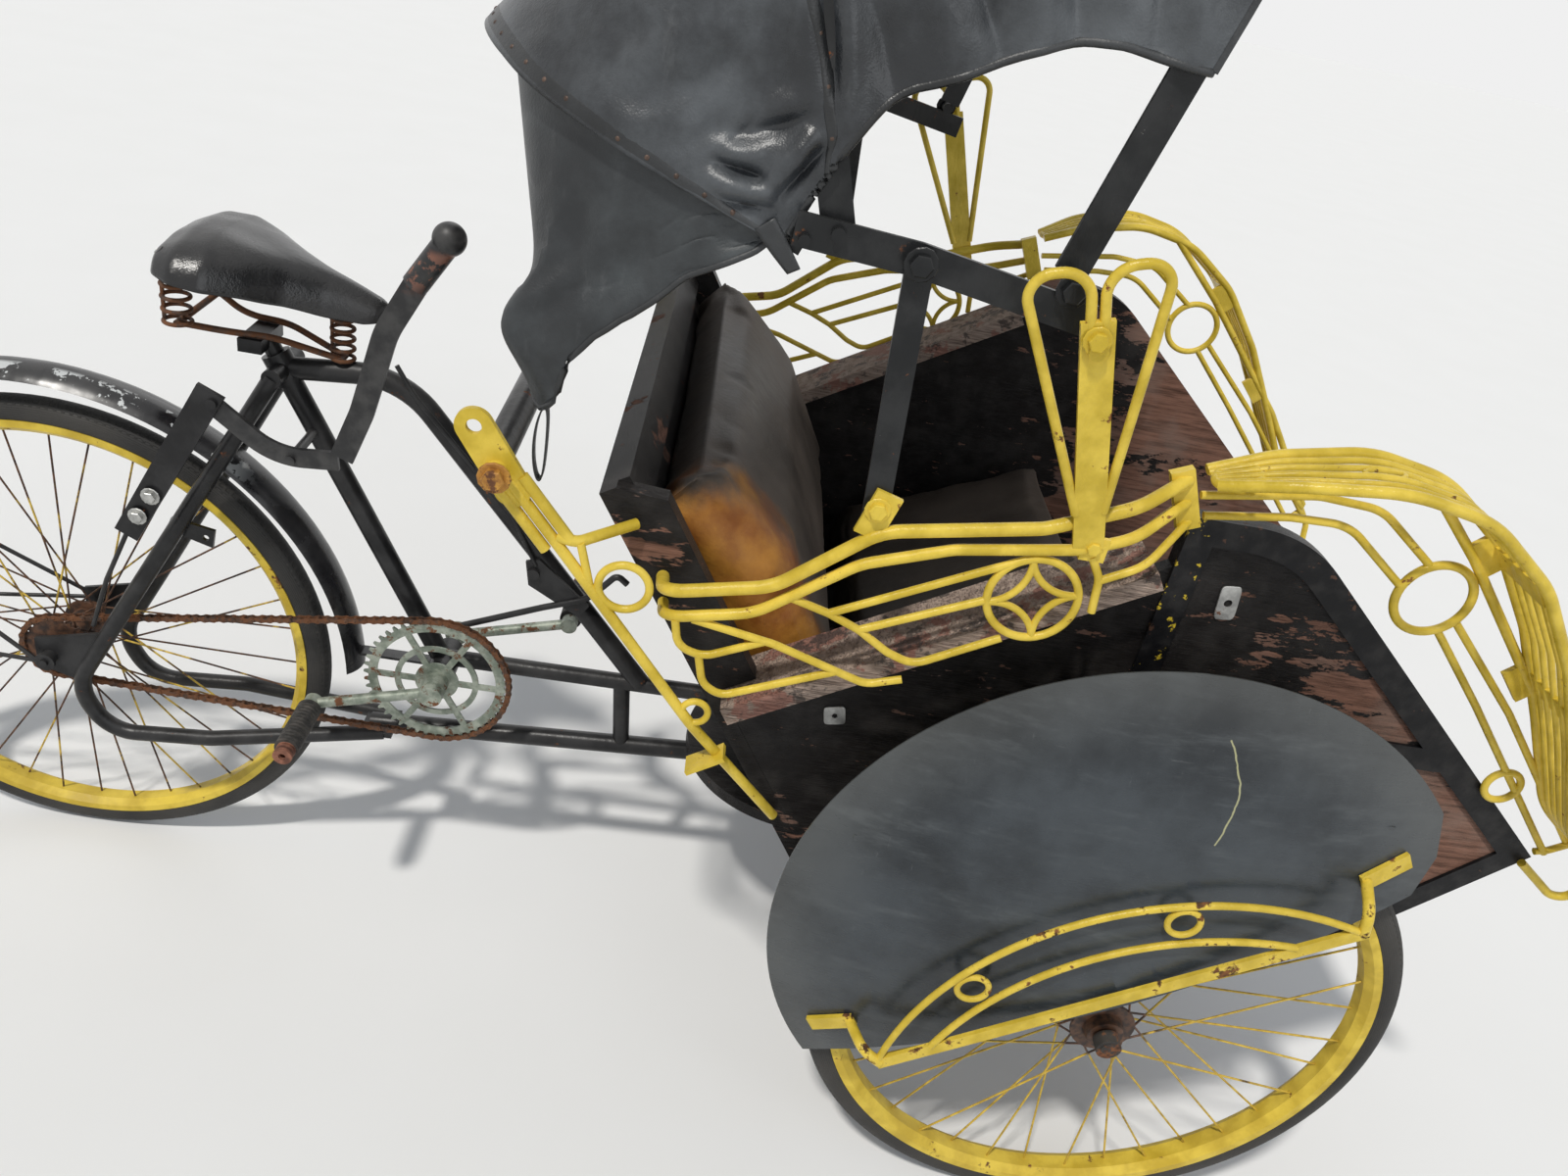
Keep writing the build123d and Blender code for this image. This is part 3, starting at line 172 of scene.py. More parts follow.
def hexagon_heads(name, places, body, material):
    """Bolt heads: for each place, a six-sided prism with a chamfered end and a round washer under it, from a
    profile carried round, whose every second point is drawn in to the middle of a flat. Each place is a
    centre, the direction the head faces and its radius."""
    sides, rows = 12, len(BOLT_PROFILE)
    flats = np.where(np.arange(sides) % 2, math.cos(math.pi / 6), 1.0)[:, None]
    centre, facing, size = (np.array(column, float) for column in zip(*places))
    ring = ring_square_to(facing, sides)
    layers = []
    for share, height in BOLT_PROFILE:
        layers.append(ring * share * (flats if share <= 1.0 else 1.0) + facing[:, None] * height)
    layers.append(facing[:, None] * BOLT_PROFILE[-1][1])
    points = centre[:, None] + size[:, None, None] * np.concatenate(layers, 1)
    k = np.arange(sides)
    top = (rows - 1) * sides
    end = np.stack([top + (k + 1) % sides, top + k, np.full(sides, rows * sides)], -1)
    walls = grid_faces(rows, sides, around=True)[:, ::-1]
    faces = [repeated(part, rows * sides + 1, len(places)) for part in (walls, end)]
    return mesh_object(name, points, faces, body, material, smooth=False)


def domes(name, places, facing, radius, body, material, flat=0.5):
    """Rivet heads: for each place, a low dome whose height goes with the square root of one less the radius
    squared."""
    facing = unit(facing)
    rows, sides = 4, 10
    share = np.linspace(1, 0.02, rows)[:, None, None]
    rise = flat * np.sqrt(1 - share ** 2 * 0.999)
    dome = ring_square_to(facing, sides)[:, None] * share + facing[:, None, None] * rise
    faces = repeated(grid_faces(rows, sides, around=True)[:, ::-1], rows * sides, len(places))
    return mesh_object(name, places[:, None, None] + radius * dome, [faces], body, material)


def closed_ring(name, centre, first, second, radius, body, material):
    """A bent wire closed to an oval: a circle carried round an ellipse with the two given half axes."""
    count, sides = 40, 8
    path = centre + circle(count) @ np.array([first, second])
    inward = unit(centre - path)
    normal = unit(np.cross(first, second))
    cos, sin = circle(sides).T[..., None]
    grid = path[:, None] + radius * (inward[:, None] * cos + normal * sin)
    faces = grid_faces(count + 1, sides, around=True) % (count * sides)
    return mesh_object(name, grid, [faces], body, material)


def thicken(obj, thick, offset=-1.0):
    """Gives a sheet its wall."""
    wall = obj.modifiers.new("wall", "SOLIDIFY")
    wall.thickness = thick
    wall.offset = offset


# Shader building

class Nodes:
    """Adds linked nodes to a material or an effect that is drawn on a place. A value is a socket, a number or
    a tuple."""

    def __init__(self, tree, place):
        self.tree = tree
        self.place = place

    def put(self, socket, value):
        if isinstance(value, bpy.types.NodeSocket):
            self.tree.links.new(value, socket)
        elif isinstance(value, tuple) and socket.type == "RGBA":
            socket.default_value = (*value, 1)
        elif isinstance(value, float) and socket.type == "RGBA":
            socket.default_value = (value, value, value, 1)
        else:
            socket.default_value = value

    def add(self, kind, inputs, **settings):
        node = self.tree.nodes.new(kind)
        for key, value in settings.items():
            setattr(node, key, value)
        for key, value in inputs.items():
            self.put(node.inputs[key], value)
        return node.outputs

    def sums(self, operation, *values):
        return self.add("ShaderNodeMath", dict(enumerate(values)), operation=operation)[0]

    def times(self, first, *others):
        for other in others:
            first = self.sums("MULTIPLY", first, other)
        return first

    def plus(self, first, second):
        return self.sums("ADD", first, second)

    def minus(self, first, second):
        return self.sums("SUBTRACT", first, second)

    def ramp(self, value, low, high, to_low=0.0, to_high=1.0, kind="LINEAR"):
        levels = {0: value, 1: low, 2: high, 3: to_low, 4: to_high}
        return self.add("ShaderNodeMapRange", levels, interpolation_type=kind)[0]

    def ease(self, value, low, high, to_low=0.0, to_high=1.0):
        return self.ramp(value, low, high, to_low, to_high, "SMOOTHSTEP")

    def mix(self, share, first, second):
        return self.add("ShaderNodeMix", {0: share, 6: first, 7: second}, data_type="RGBA")[2]

    def blend(self, value, low, high, first, second):
        """From the first colour, where the value is low, to the second, where it is high."""
        return self.mix(self.ease(value, low, high), first, second)

    def noise(self, scale, detail=4.0, rough=0.55, stretch=None):
        place = self.place
        if stretch:
            place = self.add("ShaderNodeMapping", {"Vector": place, "Scale": stretch})[0]
        inputs = {"Vector": place, "Scale": scale, "Detail": detail, "Roughness": rough}
        return self.add("ShaderNodeTexNoise", inputs)[0]

    def xyz(self):
        return self.add("ShaderNodeSeparateXYZ", {0: self.place})

    def group(self, made, **values):
        return self.add("ShaderNodeGroup", {"Place": self.place, **values}, node_tree=made)

    def patches(self, scale, amount, softness, **other):
        return self.group(PATCHES, Scale=scale, Amount=amount, Softness=softness, **other)["Mask"]

    def dusted(self, colour, scale, amount, dust):
        return self.mix(self.group(DUST, Scale=scale, Amount=amount)["Mask"], colour, dust)

    def polar(self, axle_x, axle_z):
        return self.group(POLAR, AxleX=axle_x, AxleZ=axle_z)


class Finish(Nodes):
    """A material with a Principled shader, drawn on Object coordinates."""

    def __init__(self, name):
        self.material = bpy.data.materials.new(name)
        self.material.use_nodes = True
        super().__init__(self.material.node_tree, None)
        self.place = self.add("ShaderNodeTexCoord", {})["Object"]
        self.shader = self.tree.nodes["Principled BSDF"]

    def done(self, colour, rough, height, distance, specular=0.5, metal=0.0):
        """The material, fed with a colour, a roughness, and a height as bump over a distance."""
        raised = self.add("ShaderNodeBump", {"Height": height, "Distance": distance, "Strength": 1.0})[0]
        fed = {"Base Color": colour, "Roughness": rough, "Normal": raised, "Specular IOR Level": specular,
               "Metallic": metal}
        for label, value in fed.items():
            self.put(self.shader.inputs[label], value)
        return self.material


def effect(name, usual, build):
    """A shader node group that draws on a place, with a number for each name and usual value. build(t, i)
    fills it from the inputs i and returns its outputs by name."""
    made = bpy.data.node_groups.new(name, "ShaderNodeTree")
    made.interface.new_socket("Place", in_out="INPUT", socket_type="NodeSocketVector")
    for label, value in usual.items():
        socket = made.interface.new_socket(label, in_out="INPUT", socket_type="NodeSocketFloat")
        socket.default_value = value
    given = made.nodes.new("NodeGroupInput").outputs
    t = Nodes(made, given["Place"])
    results = build(t, given)
    for label in results:
        made.interface.new_socket(label, in_out="OUTPUT", socket_type="NodeSocketFloat")
    end = made.nodes.new("NodeGroupOutput").inputs
    for label, socket in results.items():
        t.put(end[label], socket)
    return made


def build_patches(t, i):
    """Irregular patches: fine noise over coarse noise, cut at a level that the amount sets."""
    coarse = t.noise(i["Scale"], 8.0, 0.62)
    fine = t.noise(t.times(i["Scale"], 5.3), 4.0, 0.6)
    level = t.minus(0.78, t.times(i["Amount"], 0.5))
    low = t.minus(level, t.times(i["Softness"], 0.1))
    return {"Mask": t.ramp(t.plus(t.times(coarse, 0.75), t.times(fine, 0.25)), low, level)}


def build_dust(t, i):
    """Dust: it lies on faces that look up, thicker where a coarse noise is high."""
    normal = t.add("ShaderNodeNewGeometry", {})["Normal"]
    up = t.add("ShaderNodeSeparateXYZ", {0: normal})[2]
    lying = t.ramp(up, -0.3, 1.0, 0.15, 1.0)
    return {"Mask": t.times(lying, t.ramp(t.noise(i["Scale"], 7.0, 0.65), 0.35, 0.72), i["Amount"])}


def build_scratches(t, i):
    """Fine scratches: a noise stretched far along one direction, of which only the narrow crests are kept."""
    first = t.noise(9.0, 6.0, 0.7, (1.0, 1.0, 28.0))
    second = t.noise(11.0, 6.0, 0.7, (24.0, 1.0, 3.0))
    return {"Mask": t.times(t.ramp(t.sums("MAXIMUM", first, second), 0.66, 0.74), i["Amount"])}


def build_grain(t, i):
    """Wood grain: a noise stretched along the boards, with narrow dark pores from a finer one."""
    broad = t.noise(14.0, 8.0, 0.6, (0.9, 6.0, 14.0))
    dark = t.ramp(t.noise(60.0, 5.0, 0.7, (0.6, 5.0, 22.0)), 0.50, 0.72)
    return {"Tone": t.minus(broad, t.times(dark, 0.25)), "Height": t.minus(t.times(broad, 0.6), dark)}


def build_polar(t, i):
    """Distance from a wheel's axle and the angle round it, from the place and the axle's X and Z."""
    parts = t.xyz()
    x = t.minus(parts["X"], i["AxleX"])
    z = t.minus(parts["Z"], i["AxleZ"])
    radius = t.sums("SQRT", t.plus(t.times(x, x), t.times(z, z)))
    return {"Radius": radius, "Angle": t.sums("ARCTAN2", z, x), "Side": parts["Y"]}


PATCHES = effect("patches", {"Scale": 20.0, "Amount": 0.3, "Softness": 0.2}, build_patches)
DUST = effect("dust", {"Scale": 6.0, "Amount": 0.4}, build_dust)
SCRATCHES = effect("scratches", {"Amount": 0.5}, build_scratches)
GRAIN = effect("grain", {}, build_grain)
POLAR = effect("polar", {"AxleX": 0.0, "AxleZ": 0.0}, build_polar)


# Finishes

def painted(name, dark, light, rough, rust, dust, rust_scale=45.0, chip=None, chip_amount=0.0, brush=0.0006,
            dust_colour=(0.16, 0.15, 0.135)):
    """Brushed-on paint: two tones, chips to another colour, rust spots and dust, with brush marks as bump."""
    t = Finish(name)
    colour = t.blend(t.noise(26.0, 5.0), 0.35, 0.68, dark, light)
    gloss = t.ease(t.noise(9.0), 0.3, 0.7, rough - 0.07, rough + 0.1)
    height = t.noise(95.0, 4.0, 0.6, (1.0, 1.0, 0.5))
    if chip:
        flakes = t.patches(38.0, chip_amount, 0.12)
        colour = t.mix(flakes, colour, chip)
        height = t.minus(height, t.times(flakes, 0.5))
    spots = t.patches(rust_scale, rust, 0.35)
    rusty = t.blend(t.noise(160.0, 5.0), 0.35, 0.65, (0.045, 0.018, 0.010), (0.21, 0.075, 0.025))
    colour = t.dusted(t.mix(spots, colour, rusty), 5.0, dust, dust_colour)
    return t.done(colour, t.mix(spots, gloss, 0.85), height, brush, specular=0.3)


def flaked_wood(name, amount, front_more=0.0, bare=(0.26, 0.135, 0.095)):
    """Black paint that flakes off brown boards along their grain, more towards the front."""
    t = Finish(name)
    grain = t.group(GRAIN)
    wood = t.blend(grain["Tone"], 0.2, 0.65, tuple(part * 0.3 for part in bare), bare)
    wood = t.mix(t.ease(t.noise(12.0, 6.0), 0.45, 0.7, 0.0, 0.55), wood, (0.24, 0.175, 0.145))
    leaning = {"Vector": t.place, "Scale": (0.42, 1.0, 1.35), "Rotation": (0, 0.35, 0)}
    boards = t.add("ShaderNodeMapping", leaning)[0]
    more = t.ease(t.xyz()["X"], SHIFT - 0.12, SHIFT + 0.24, 0.0, front_more)
    flakes = t.patches(7.0, t.plus(more, amount), 0.10, Place=boards)
    speckle = t.patches(60.0, t.plus(more, amount - 0.05), 0.10, Place=boards)
    bared = t.sums("MAXIMUM", flakes, t.times(speckle, 0.85))
    black = t.blend(t.noise(30.0, 5.0), 0.4, 0.7, (0.008, 0.007, 0.007), (0.024, 0.022, 0.021))
    colour = t.dusted(t.mix(bared, black, wood), 7.0, 0.10, (0.20, 0.17, 0.15))
    height = t.plus(t.times(grain["Height"], 0.35), t.times(t.minus(1.0, bared), 0.55))
    return t.done(colour, t.mix(bared, 0.38, 0.85), height, 0.0009, specular=0.16)


def bare_board(name):
    """Bare greyed board with remains of red paint along the edges and grime in the grain."""
    t = Finish(name)
    grain = t.group(GRAIN)
    wood = t.blend(grain["Tone"], 0.2, 0.62, (0.13, 0.085, 0.065), (0.42, 0.32, 0.26))
    wood = t.mix(t.times(t.patches(16.0, 0.44, 0.25), 0.75), wood, (0.27, 0.105, 0.075))
    colour = t.mix(t.times(t.patches(30.0, 0.40, 0.4), 0.8), wood, (0.035, 0.028, 0.025))
    return t.done(colour, 0.8, grain["Height"], 0.0012)


def cover_sheet(name):
    """Slate-black sheet of the wheel covers: smudges, fine scratches, and dust that thickens to the rim."""
    t = Finish(name)
    cloud = t.noise(4.5, 8.0, 0.62)
    colour = t.blend(cloud, 0.36, 0.66, (0.011, 0.015, 0.019), (0.044, 0.054, 0.063))
    smear = t.noise(22.0, 7.0, 0.7, (0.35, 1.0, 1.6))
    colour = t.mix(t.ease(smear, 0.50, 0.78, 0.0, 0.50), colour, (0.115, 0.128, 0.135))
    from_middle = t.plus(t.polar(SHIFT - 0.042, 0.474)["Radius"], t.times(cloud, 0.14))
    colour = t.mix(t.ease(from_middle, 0.34, 0.50, 0.0, 0.50), colour, (0.110, 0.110, 0.100))
    colour = t.mix(t.group(SCRATCHES, Amount=0.34)["Mask"], colour, (0.20, 0.21, 0.21))
    colour = t.mix(t.patches(48.0, 0.10, 0.04), colour, (0.60, 0.58, 0.52))
    # One long curved scratch on the upper front part: a piece of a circle whose radius wanders a little.
    centre = t.polar(SHIFT - 0.105, 0.722)
    radius = t.plus(centre["Radius"], t.times(t.noise(26.0), 0.010))
    line = t.ease(t.sums("ABSOLUTE", t.minus(radius, 0.1165)), 0.0005, 0.0013, 1.0, 0.0)
    part = t.sums("LESS_THAN", t.sums("ABSOLUTE", t.plus(centre["Angle"], -0.17)), 0.545)
    right = t.sums("LESS_THAN", centre["Side"], 0.0)
    colour = t.mix(t.times(line, part, right, 0.85), colour, (0.46, 0.45, 0.24))
    height = t.plus(t.noise(3.2, 2.0), t.times(smear, 0.04))
    return t.done(colour, t.ease(smear, 0.35, 0.75, 0.22, 0.46), height, 0.004)


def coated_cloth(name, dark, light, rough):
    """Black coated cloth: a fine pebbled surface, greyed in clouds and along creases, half gloss."""
    t = Finish(name)
    cloud = t.noise(6.0, 8.0, 0.64)
    colour = t.blend(cloud, 0.38, 0.68, dark, light)
    streak = t.noise(30.0, 6.0, 0.7, (1.0, 1.0, 0.35))
    colour = t.mix(t.ease(streak, 0.58, 0.80, 0.0, 0.30), colour, (0.17, 0.178, 0.183))
    colour = t.dusted(colour, 9.0, 0.10, (0.13, 0.13, 0.125))
    pebble = t.add("ShaderNodeTexVoronoi", {"Vector": t.place, "Scale": 620.0}, feature="SMOOTH_F1")[0]
    height = t.plus(t.times(pebble, 0.35), t.noise(150.0, 5.0, 0.65))
    return t.done(colour, t.ease(cloud, 0.3, 0.7, rough - 0.06, rough + 0.12), height, 0.0005)


def cushion_cover(name, sunlit_patch):
    """Brown-grey cushion cover. With the second argument set, a painted patch of sunlight turns it orange low
    down on the right-hand side: the cover's own faded orange, painted only where the sun fell.
    """
    t = Finish(name)
    cloud = t.noise(5.0, 7.0, 0.6)
    colour = t.blend(cloud, 0.35, 0.68, (0.040, 0.032, 0.026), (0.105, 0.083, 0.067))
    if sunlit_patch:
        # Painted sunlight: the cover's faded orange, shown only low down on the right-hand side, where light
        # fell.
        parts = t.xyz()
        wander = t.times(t.minus(t.noise(9.0, 6.0, 0.6), 0.5), 0.16)
        side = t.ease(t.plus(parts["Y"], wander), -0.30, -0.24, 1.0, 0.0)
        low = t.ease(t.plus(parts["Z"], wander), 0.855, 0.905, 1.0, 0.0)
        orange = t.blend(t.noise(16.0, 6.0), 0.35, 0.7, (0.22, 0.070, 0.012), (0.46, 0.205, 0.030))
        colour = t.mix(t.times(side, low), colour, orange)
    colour = t.dusted(colour, 11.0, 0.25, (0.19, 0.16, 0.135))
    pebble = t.add("ShaderNodeTexVoronoi", {"Vector": t.place, "Scale": 520.0}, feature="SMOOTH_F1")[0]
    height = t.plus(t.times(pebble, 0.10), t.noise(34.0, 6.0, 0.7))
    return t.done(colour, t.ease(cloud, 0.3, 0.7, 0.42, 0.6), height, 0.0016, specular=0.25)


def tyre_rubber(name, axle_x):
    """Tyre: fine blocks round the tread, dusty side walls with moulded rings."""
    t = Finish(name)
    wheel = t.polar(axle_x, AXLE_Z)
    teeth = t.times(t.sums("SINE", t.times(wheel["Angle"], 220.0)), -1.0)
    cross = t.sums("SINE", t.times(wheel["Side"], 900.0))
    blocks = t.ease(t.sums("MAXIMUM", teeth, cross), 0.1, 0.5)
    on_tread = t.ease(wheel["Radius"], 0.3435, 0.3465)
    rings = t.ease(t.sums("SINE", t.times(wheel["Radius"], 2600.0)), 0.4, 0.9, 0.0, 0.35)
    height = t.plus(t.times(on_tread, blocks), t.times(t.minus(1.0, on_tread), rings))
    cloud = t.noise(18.0, 7.0, 0.65)
    colour = t.blend(cloud, 0.35, 0.7, (0.010, 0.010, 0.010), (0.036, 0.034, 0.031))
    dusty = t.times(t.minus(1.0, t.times(on_tread, 0.55)), t.ease(t.noise(6.0, 6.0), 0.38, 0.72, 0.05, 0.6))
    colour = t.mix(dusty, colour, (0.072, 0.066, 0.058))
    return t.done(colour, t.ease(cloud, 0.3, 0.7, 0.62, 0.85), height, 0.0022)


def spoked_hub(name, axle_x, paint_share):
    """Hub and spokes in one: rusty black hub, and spokes that are yellow or rusty in stretches."""
    t = Finish(name)
    grit = t.noise(90.0, 5.0)
    rust = t.blend(grit, 0.35, 0.65, (0.028, 0.016, 0.012), (0.135, 0.062, 0.032))
    yellow = t.blend(grit, 0.3, 0.7, (0.42, 0.27, 0.03), (0.70, 0.49, 0.06))
    kept = t.ease(t.noise(9.0, 6.0, 0.7), 0.72 - paint_share * 0.5, 0.80 - paint_share * 0.5)
    outer = t.ease(t.polar(axle_x, AXLE_Z)["Radius"], 0.050, 0.058)
    colour = t.mix(t.times(outer, kept), rust, yellow)
    return t.done(colour, t.mix(kept, 0.75, 0.5), grit, 0.0004, metal=0.15)


def steel(name, dark, light, rough, metal, rust):
    """Plain or plated steel with a mottled surface and rust in patches."""
    t = Finish(name)
    mottled = t.noise(55.0, 6.0, 0.65)
    spots = t.patches(60.0, rust, 0.5)
    rusty = t.mix(mottled, (0.05, 0.020, 0.010), (0.22, 0.085, 0.030))
    colour = t.mix(spots, t.blend(mottled, 0.35, 0.68, dark, light), rusty)
    gloss = t.mix(spots, t.ease(mottled, 0.3, 0.7, rough - 0.08, rough + 0.12), 0.88)
    return t.done(colour, gloss, mottled, 0.0004, metal=t.times(t.minus(1.0, spots), metal))


def edge_strap(name):
    """Black iron straps on the cab's sides, with flecks of yellow paint down the upright one."""
    t = Finish(name)
    black = t.blend(t.noise(40.0, 5.0), 0.4, 0.7, (0.006, 0.006, 0.007), (0.022, 0.021, 0.021))
    upright = t.sums("LESS_THAN", t.xyz()["X"], SHIFT - 0.078)
    colour = t.mix(t.times(upright, t.patches(52.0, 0.42, 0.06)), black, (0.55, 0.40, 0.03))
    colour = t.mix(t.times(t.patches(34.0, 0.25, 0.3), 0.8), colour, (0.11, 0.055, 0.035))
    return t.done(colour, 0.42, t.noise(90.0), 0.0006, specular=0.2)


def mudguard_paint(name):
    """Glossy black mudguard with silver-white flakes near the crest."""
    t = Finish(name)
    wheel = t.polar(REAR_AXLE_X, AXLE_Z)
    cloud = t.noise(20.0, 6.0)
    colour = t.blend(cloud, 0.35, 0.7, (0.006, 0.006, 0.008), (0.022, 0.022, 0.024))
    stretch = t.ease(t.sums("ABSOLUTE", t.minus(wheel["Angle"], 1.33)), 0.34, 0.52, 1.0, 0.0)
    right = t.ease(wheel["Side"], -0.002, -0.010)
    crest = t.ease(wheel["Radius"], 0.386, 0.389)
    colour = t.mix(t.times(t.patches(17.0, 0.56, 0.05), stretch, right, crest), colour, (0.62, 0.64, 0.64))
    colour = t.dusted(colour, 8.0, 0.3, (0.15, 0.145, 0.135))
    return t.done(colour, t.ease(cloud, 0.3, 0.7, 0.16, 0.36), t.noise(14.0, 3.0), 0.0016)


def pedal_cover(name):
    """Pedal: black ribbed rubber with a rust-red end piece."""
    t = Finish(name)
    side = t.xyz()["Y"]
    end = t.sums("GREATER_THAN", t.sums("ABSOLUTE", side), 0.1725)
    mottled = t.noise(70.0, 6.0)
    rubber = t.blend(mottled, 0.35, 0.7, (0.014, 0.013, 0.012), (0.07, 0.062, 0.055))
    red = t.blend(mottled, 0.35, 0.7, (0.10, 0.035, 0.020), (0.34, 0.14, 0.085))
    ribs = t.sums("SINE", t.times(side, 950.0))
    return t.done(t.mix(end, rubber, red), 0.72, t.plus(t.times(ribs, 0.5), mottled), 0.0012)


def lever_paint(name):
    """Brake lever: black paint, rubbed to rust on the grip, with a black rubber knob."""
    t = Finish(name)
    height = t.xyz()["Z"]
    mottled = t.noise(45.0, 6.0)
    black = t.blend(mottled, 0.35, 0.7, (0.010, 0.010, 0.011), (0.045, 0.044, 0.043))
    on_grip = t.times(t.ease(height, 0.95, 0.98), t.ease(height, 1.015, 1.005))
    colour = t.mix(t.times(t.patches(30.0, 0.52, 0.35), on_grip), black, (0.20, 0.085, 0.055))
    return t.done(colour, t.ease(mottled, 0.3, 0.7, 0.34, 0.5), mottled, 0.0005)


BRIGHT = ((0.58, 0.415, 0.032), (0.80, 0.590, 0.075))
DULL = ((0.54, 0.375, 0.030), (0.76, 0.560, 0.065))
WARM_DUST = (0.42, 0.33, 0.13)
PALE_CHIP = (0.55, 0.54, 0.50)
YELLOW = painted("yellow_paint", *BRIGHT, 0.33, 0.24, 0.12, 40.0, brush=0.0016, dust_colour=WARM_DUST)
WORN_YELLOW = painted("worn_yellow", *BRIGHT, 0.36, 0.37, 0.15, 26.0, brush=0.0016, dust_colour=WARM_DUST)
RIM_YELLOW = painted("rim_yellow", *DULL, 0.42, 0.30, 0.22, 28.0, dust_colour=(0.36, 0.28, 0.13))
FRAME_BLACK = painted("frame_black", (0.007, 0.007, 0.008), (0.024, 0.024, 0.025), 0.34, 0.22, 0.14)
BOW_BLACK = painted("bow_black", (0.007, 0.008, 0.009), (0.022, 0.023, 0.024), 0.31, 0.24, 0.10,
                    chip=PALE_CHIP, chip_amount=0.19)
LOWER_BLACK = painted("underframe_black", (0.012, 0.011, 0.011), (0.05, 0.045, 0.04), 0.6, 0.42, 0.35)
PANEL = flaked_wood("panel_flaked", 0.34, front_more=0.34)
INSIDE = flaked_wood("board_flaked", 0.37, front_more=0.10)
DISC = flaked_wood("turntable_board", 0.34, bare=(0.16, 0.10, 0.075))
BARE = bare_board("arm_board")
COVER = cover_sheet("cover_slate")
CLOTH = coated_cloth("hood_cloth", (0.017, 0.019, 0.022), (0.090, 0.099, 0.108), 0.29)
CURTAIN_CLOTH = coated_cloth("curtain_cloth", (0.014, 0.016, 0.018), (0.054, 0.062, 0.066), 0.42)
BINDING = coated_cloth("hood_binding", (0.010, 0.011, 0.012), (0.040, 0.043, 0.046), 0.36)
LEATHER = coated_cloth("saddle_leather_black", (0.008, 0.008, 0.009), (0.030, 0.029, 0.029), 0.24)
SEAT_COVER = cushion_cover("seat_cover", False)
BACK_COVER = cushion_cover("back_cover", True)
TYRE_REAR = tyre_rubber("tyre_rear_rubber", REAR_AXLE_X)
TYRE_FRONT = tyre_rubber("tyre_front_rubber", FRONT_AXLE_X)
HUB_REAR = spoked_hub("hub_rear_metal", REAR_AXLE_X, 0.42)
HUB_FRONT = spoked_hub("hub_front_metal", FRONT_AXLE_X, 0.75)
RUSTY = steel("rusty_steel", (0.045, 0.026, 0.018), (0.15, 0.075, 0.042), 0.62, 0.35, 0.55)
NICKEL = steel("worn_nickel", (0.17, 0.20, 0.16), (0.38, 0.41, 0.345), 0.45, 0.45, 0.36)
ZINC = steel("dull_zinc", (0.30, 0.30, 0.29), (0.55, 0.55, 0.53), 0.38, 0.85, 0.20)
BOLT_ORANGE = steel("bolt_orange", (0.30, 0.12, 0.02), (0.62, 0.32, 0.05), 0.6, 0.1, 0.45)
RIVET_BROWN = steel("rivet_brown", (0.040, 0.026, 0.020), (0.13, 0.085, 0.065), 0.5, 0.5, 0.24)
STRAP = edge_strap("edge_strap")
GUARD = mudguard_paint("mudguard_gloss")
PEDAL = pedal_cover("pedal_cover")
LEVER = lever_paint("lever_paint")

# The finish of each solid. A name that ends in _ stands for a piece on either side.
FINISHES = (
    (TYRE_REAR, "tyre_rear"), (TYRE_FRONT, "tyre_front_"), (RIM_YELLOW, "rim_rear rim_front_"),
    (HUB_REAR, "hub_rear"), (HUB_FRONT, "hub_front_"), (DISC, "turntable_disc"), (GUARD, "rear_mudguard"),
    (FRAME_BLACK, "rear_frame mudguard_stay_ saddle_post brake_link lever_linkage handlebar"),
    (LEATHER, "saddle_leather"), (RUSTY, "saddle_springs chain"), (LEVER, "brake_lever"),
    (NICKEL, "chainring crank_arms"), (PEDAL, "pedal_"), (PANEL, "cab_side_ cab_back"),
    (INSIDE, "cab_floor seat_box"), (STRAP, "edge_band_"), (SEAT_COVER, "seat_cushion"),
    (BACK_COVER, "back_cushion"), (BARE, "armrest_"), (LOWER_BLACK, "cab_underframe"),
    (COVER, "wheel_cover_"), (WORN_YELLOW, "cover_ornament_"), (CLOTH, "hood_canopy rear_curtain"),
    (YELLOW, "side_rail_ wing_ handlebar_bracket_"),
    (BOW_BLACK, "hood_bow_front hood_bow_middle hood_bow_rear hood_link_"),
)
for finish, names in FINISHES:
    for name in names.split():
        for node in [name + hand for _, hand in SIDES] if name.endswith("_") else [name]:
            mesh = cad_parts[node].data
            mesh.materials.clear()
            mesh.materials.append(finish)


# Hood

# Each row: X from the front axle and Z of a hoop's foot, its direction in degrees from straight ahead, and
# the distance from the foot to the middle of the top.
HOOPS = ((-0.2815, 1.1881, 76.0, 0.4119), (-0.4900, 1.1850, 107.5, 0.4039), (-0.5208, 1.1660, 160.0, 0.3130))
HOOD_CORNER = 0.1898
FRONT_ROWS, REAR_ROWS = 84, 70
HOOD_COUNTS = (46, 30, 42)
# X and Z of the lower edge of the hood's sides, from the rear to the front.
HEM = ((-0.537, 1.150), (-0.534, 1.176), (-0.520, 1.212), (-0.501, 1.252), (-0.488, 1.274), (-0.476, 1.293),
       (-0.460, 1.306), (-0.439, 1.315), (-0.412, 1.329), (-0.386, 1.343), (-0.359, 1.355), (-0.339, 1.362),
       (-0.309, 1.365), (-0.277, 1.361), (-0.249, 1.359), (-0.233, 1.359), (-0.150, 1.385))
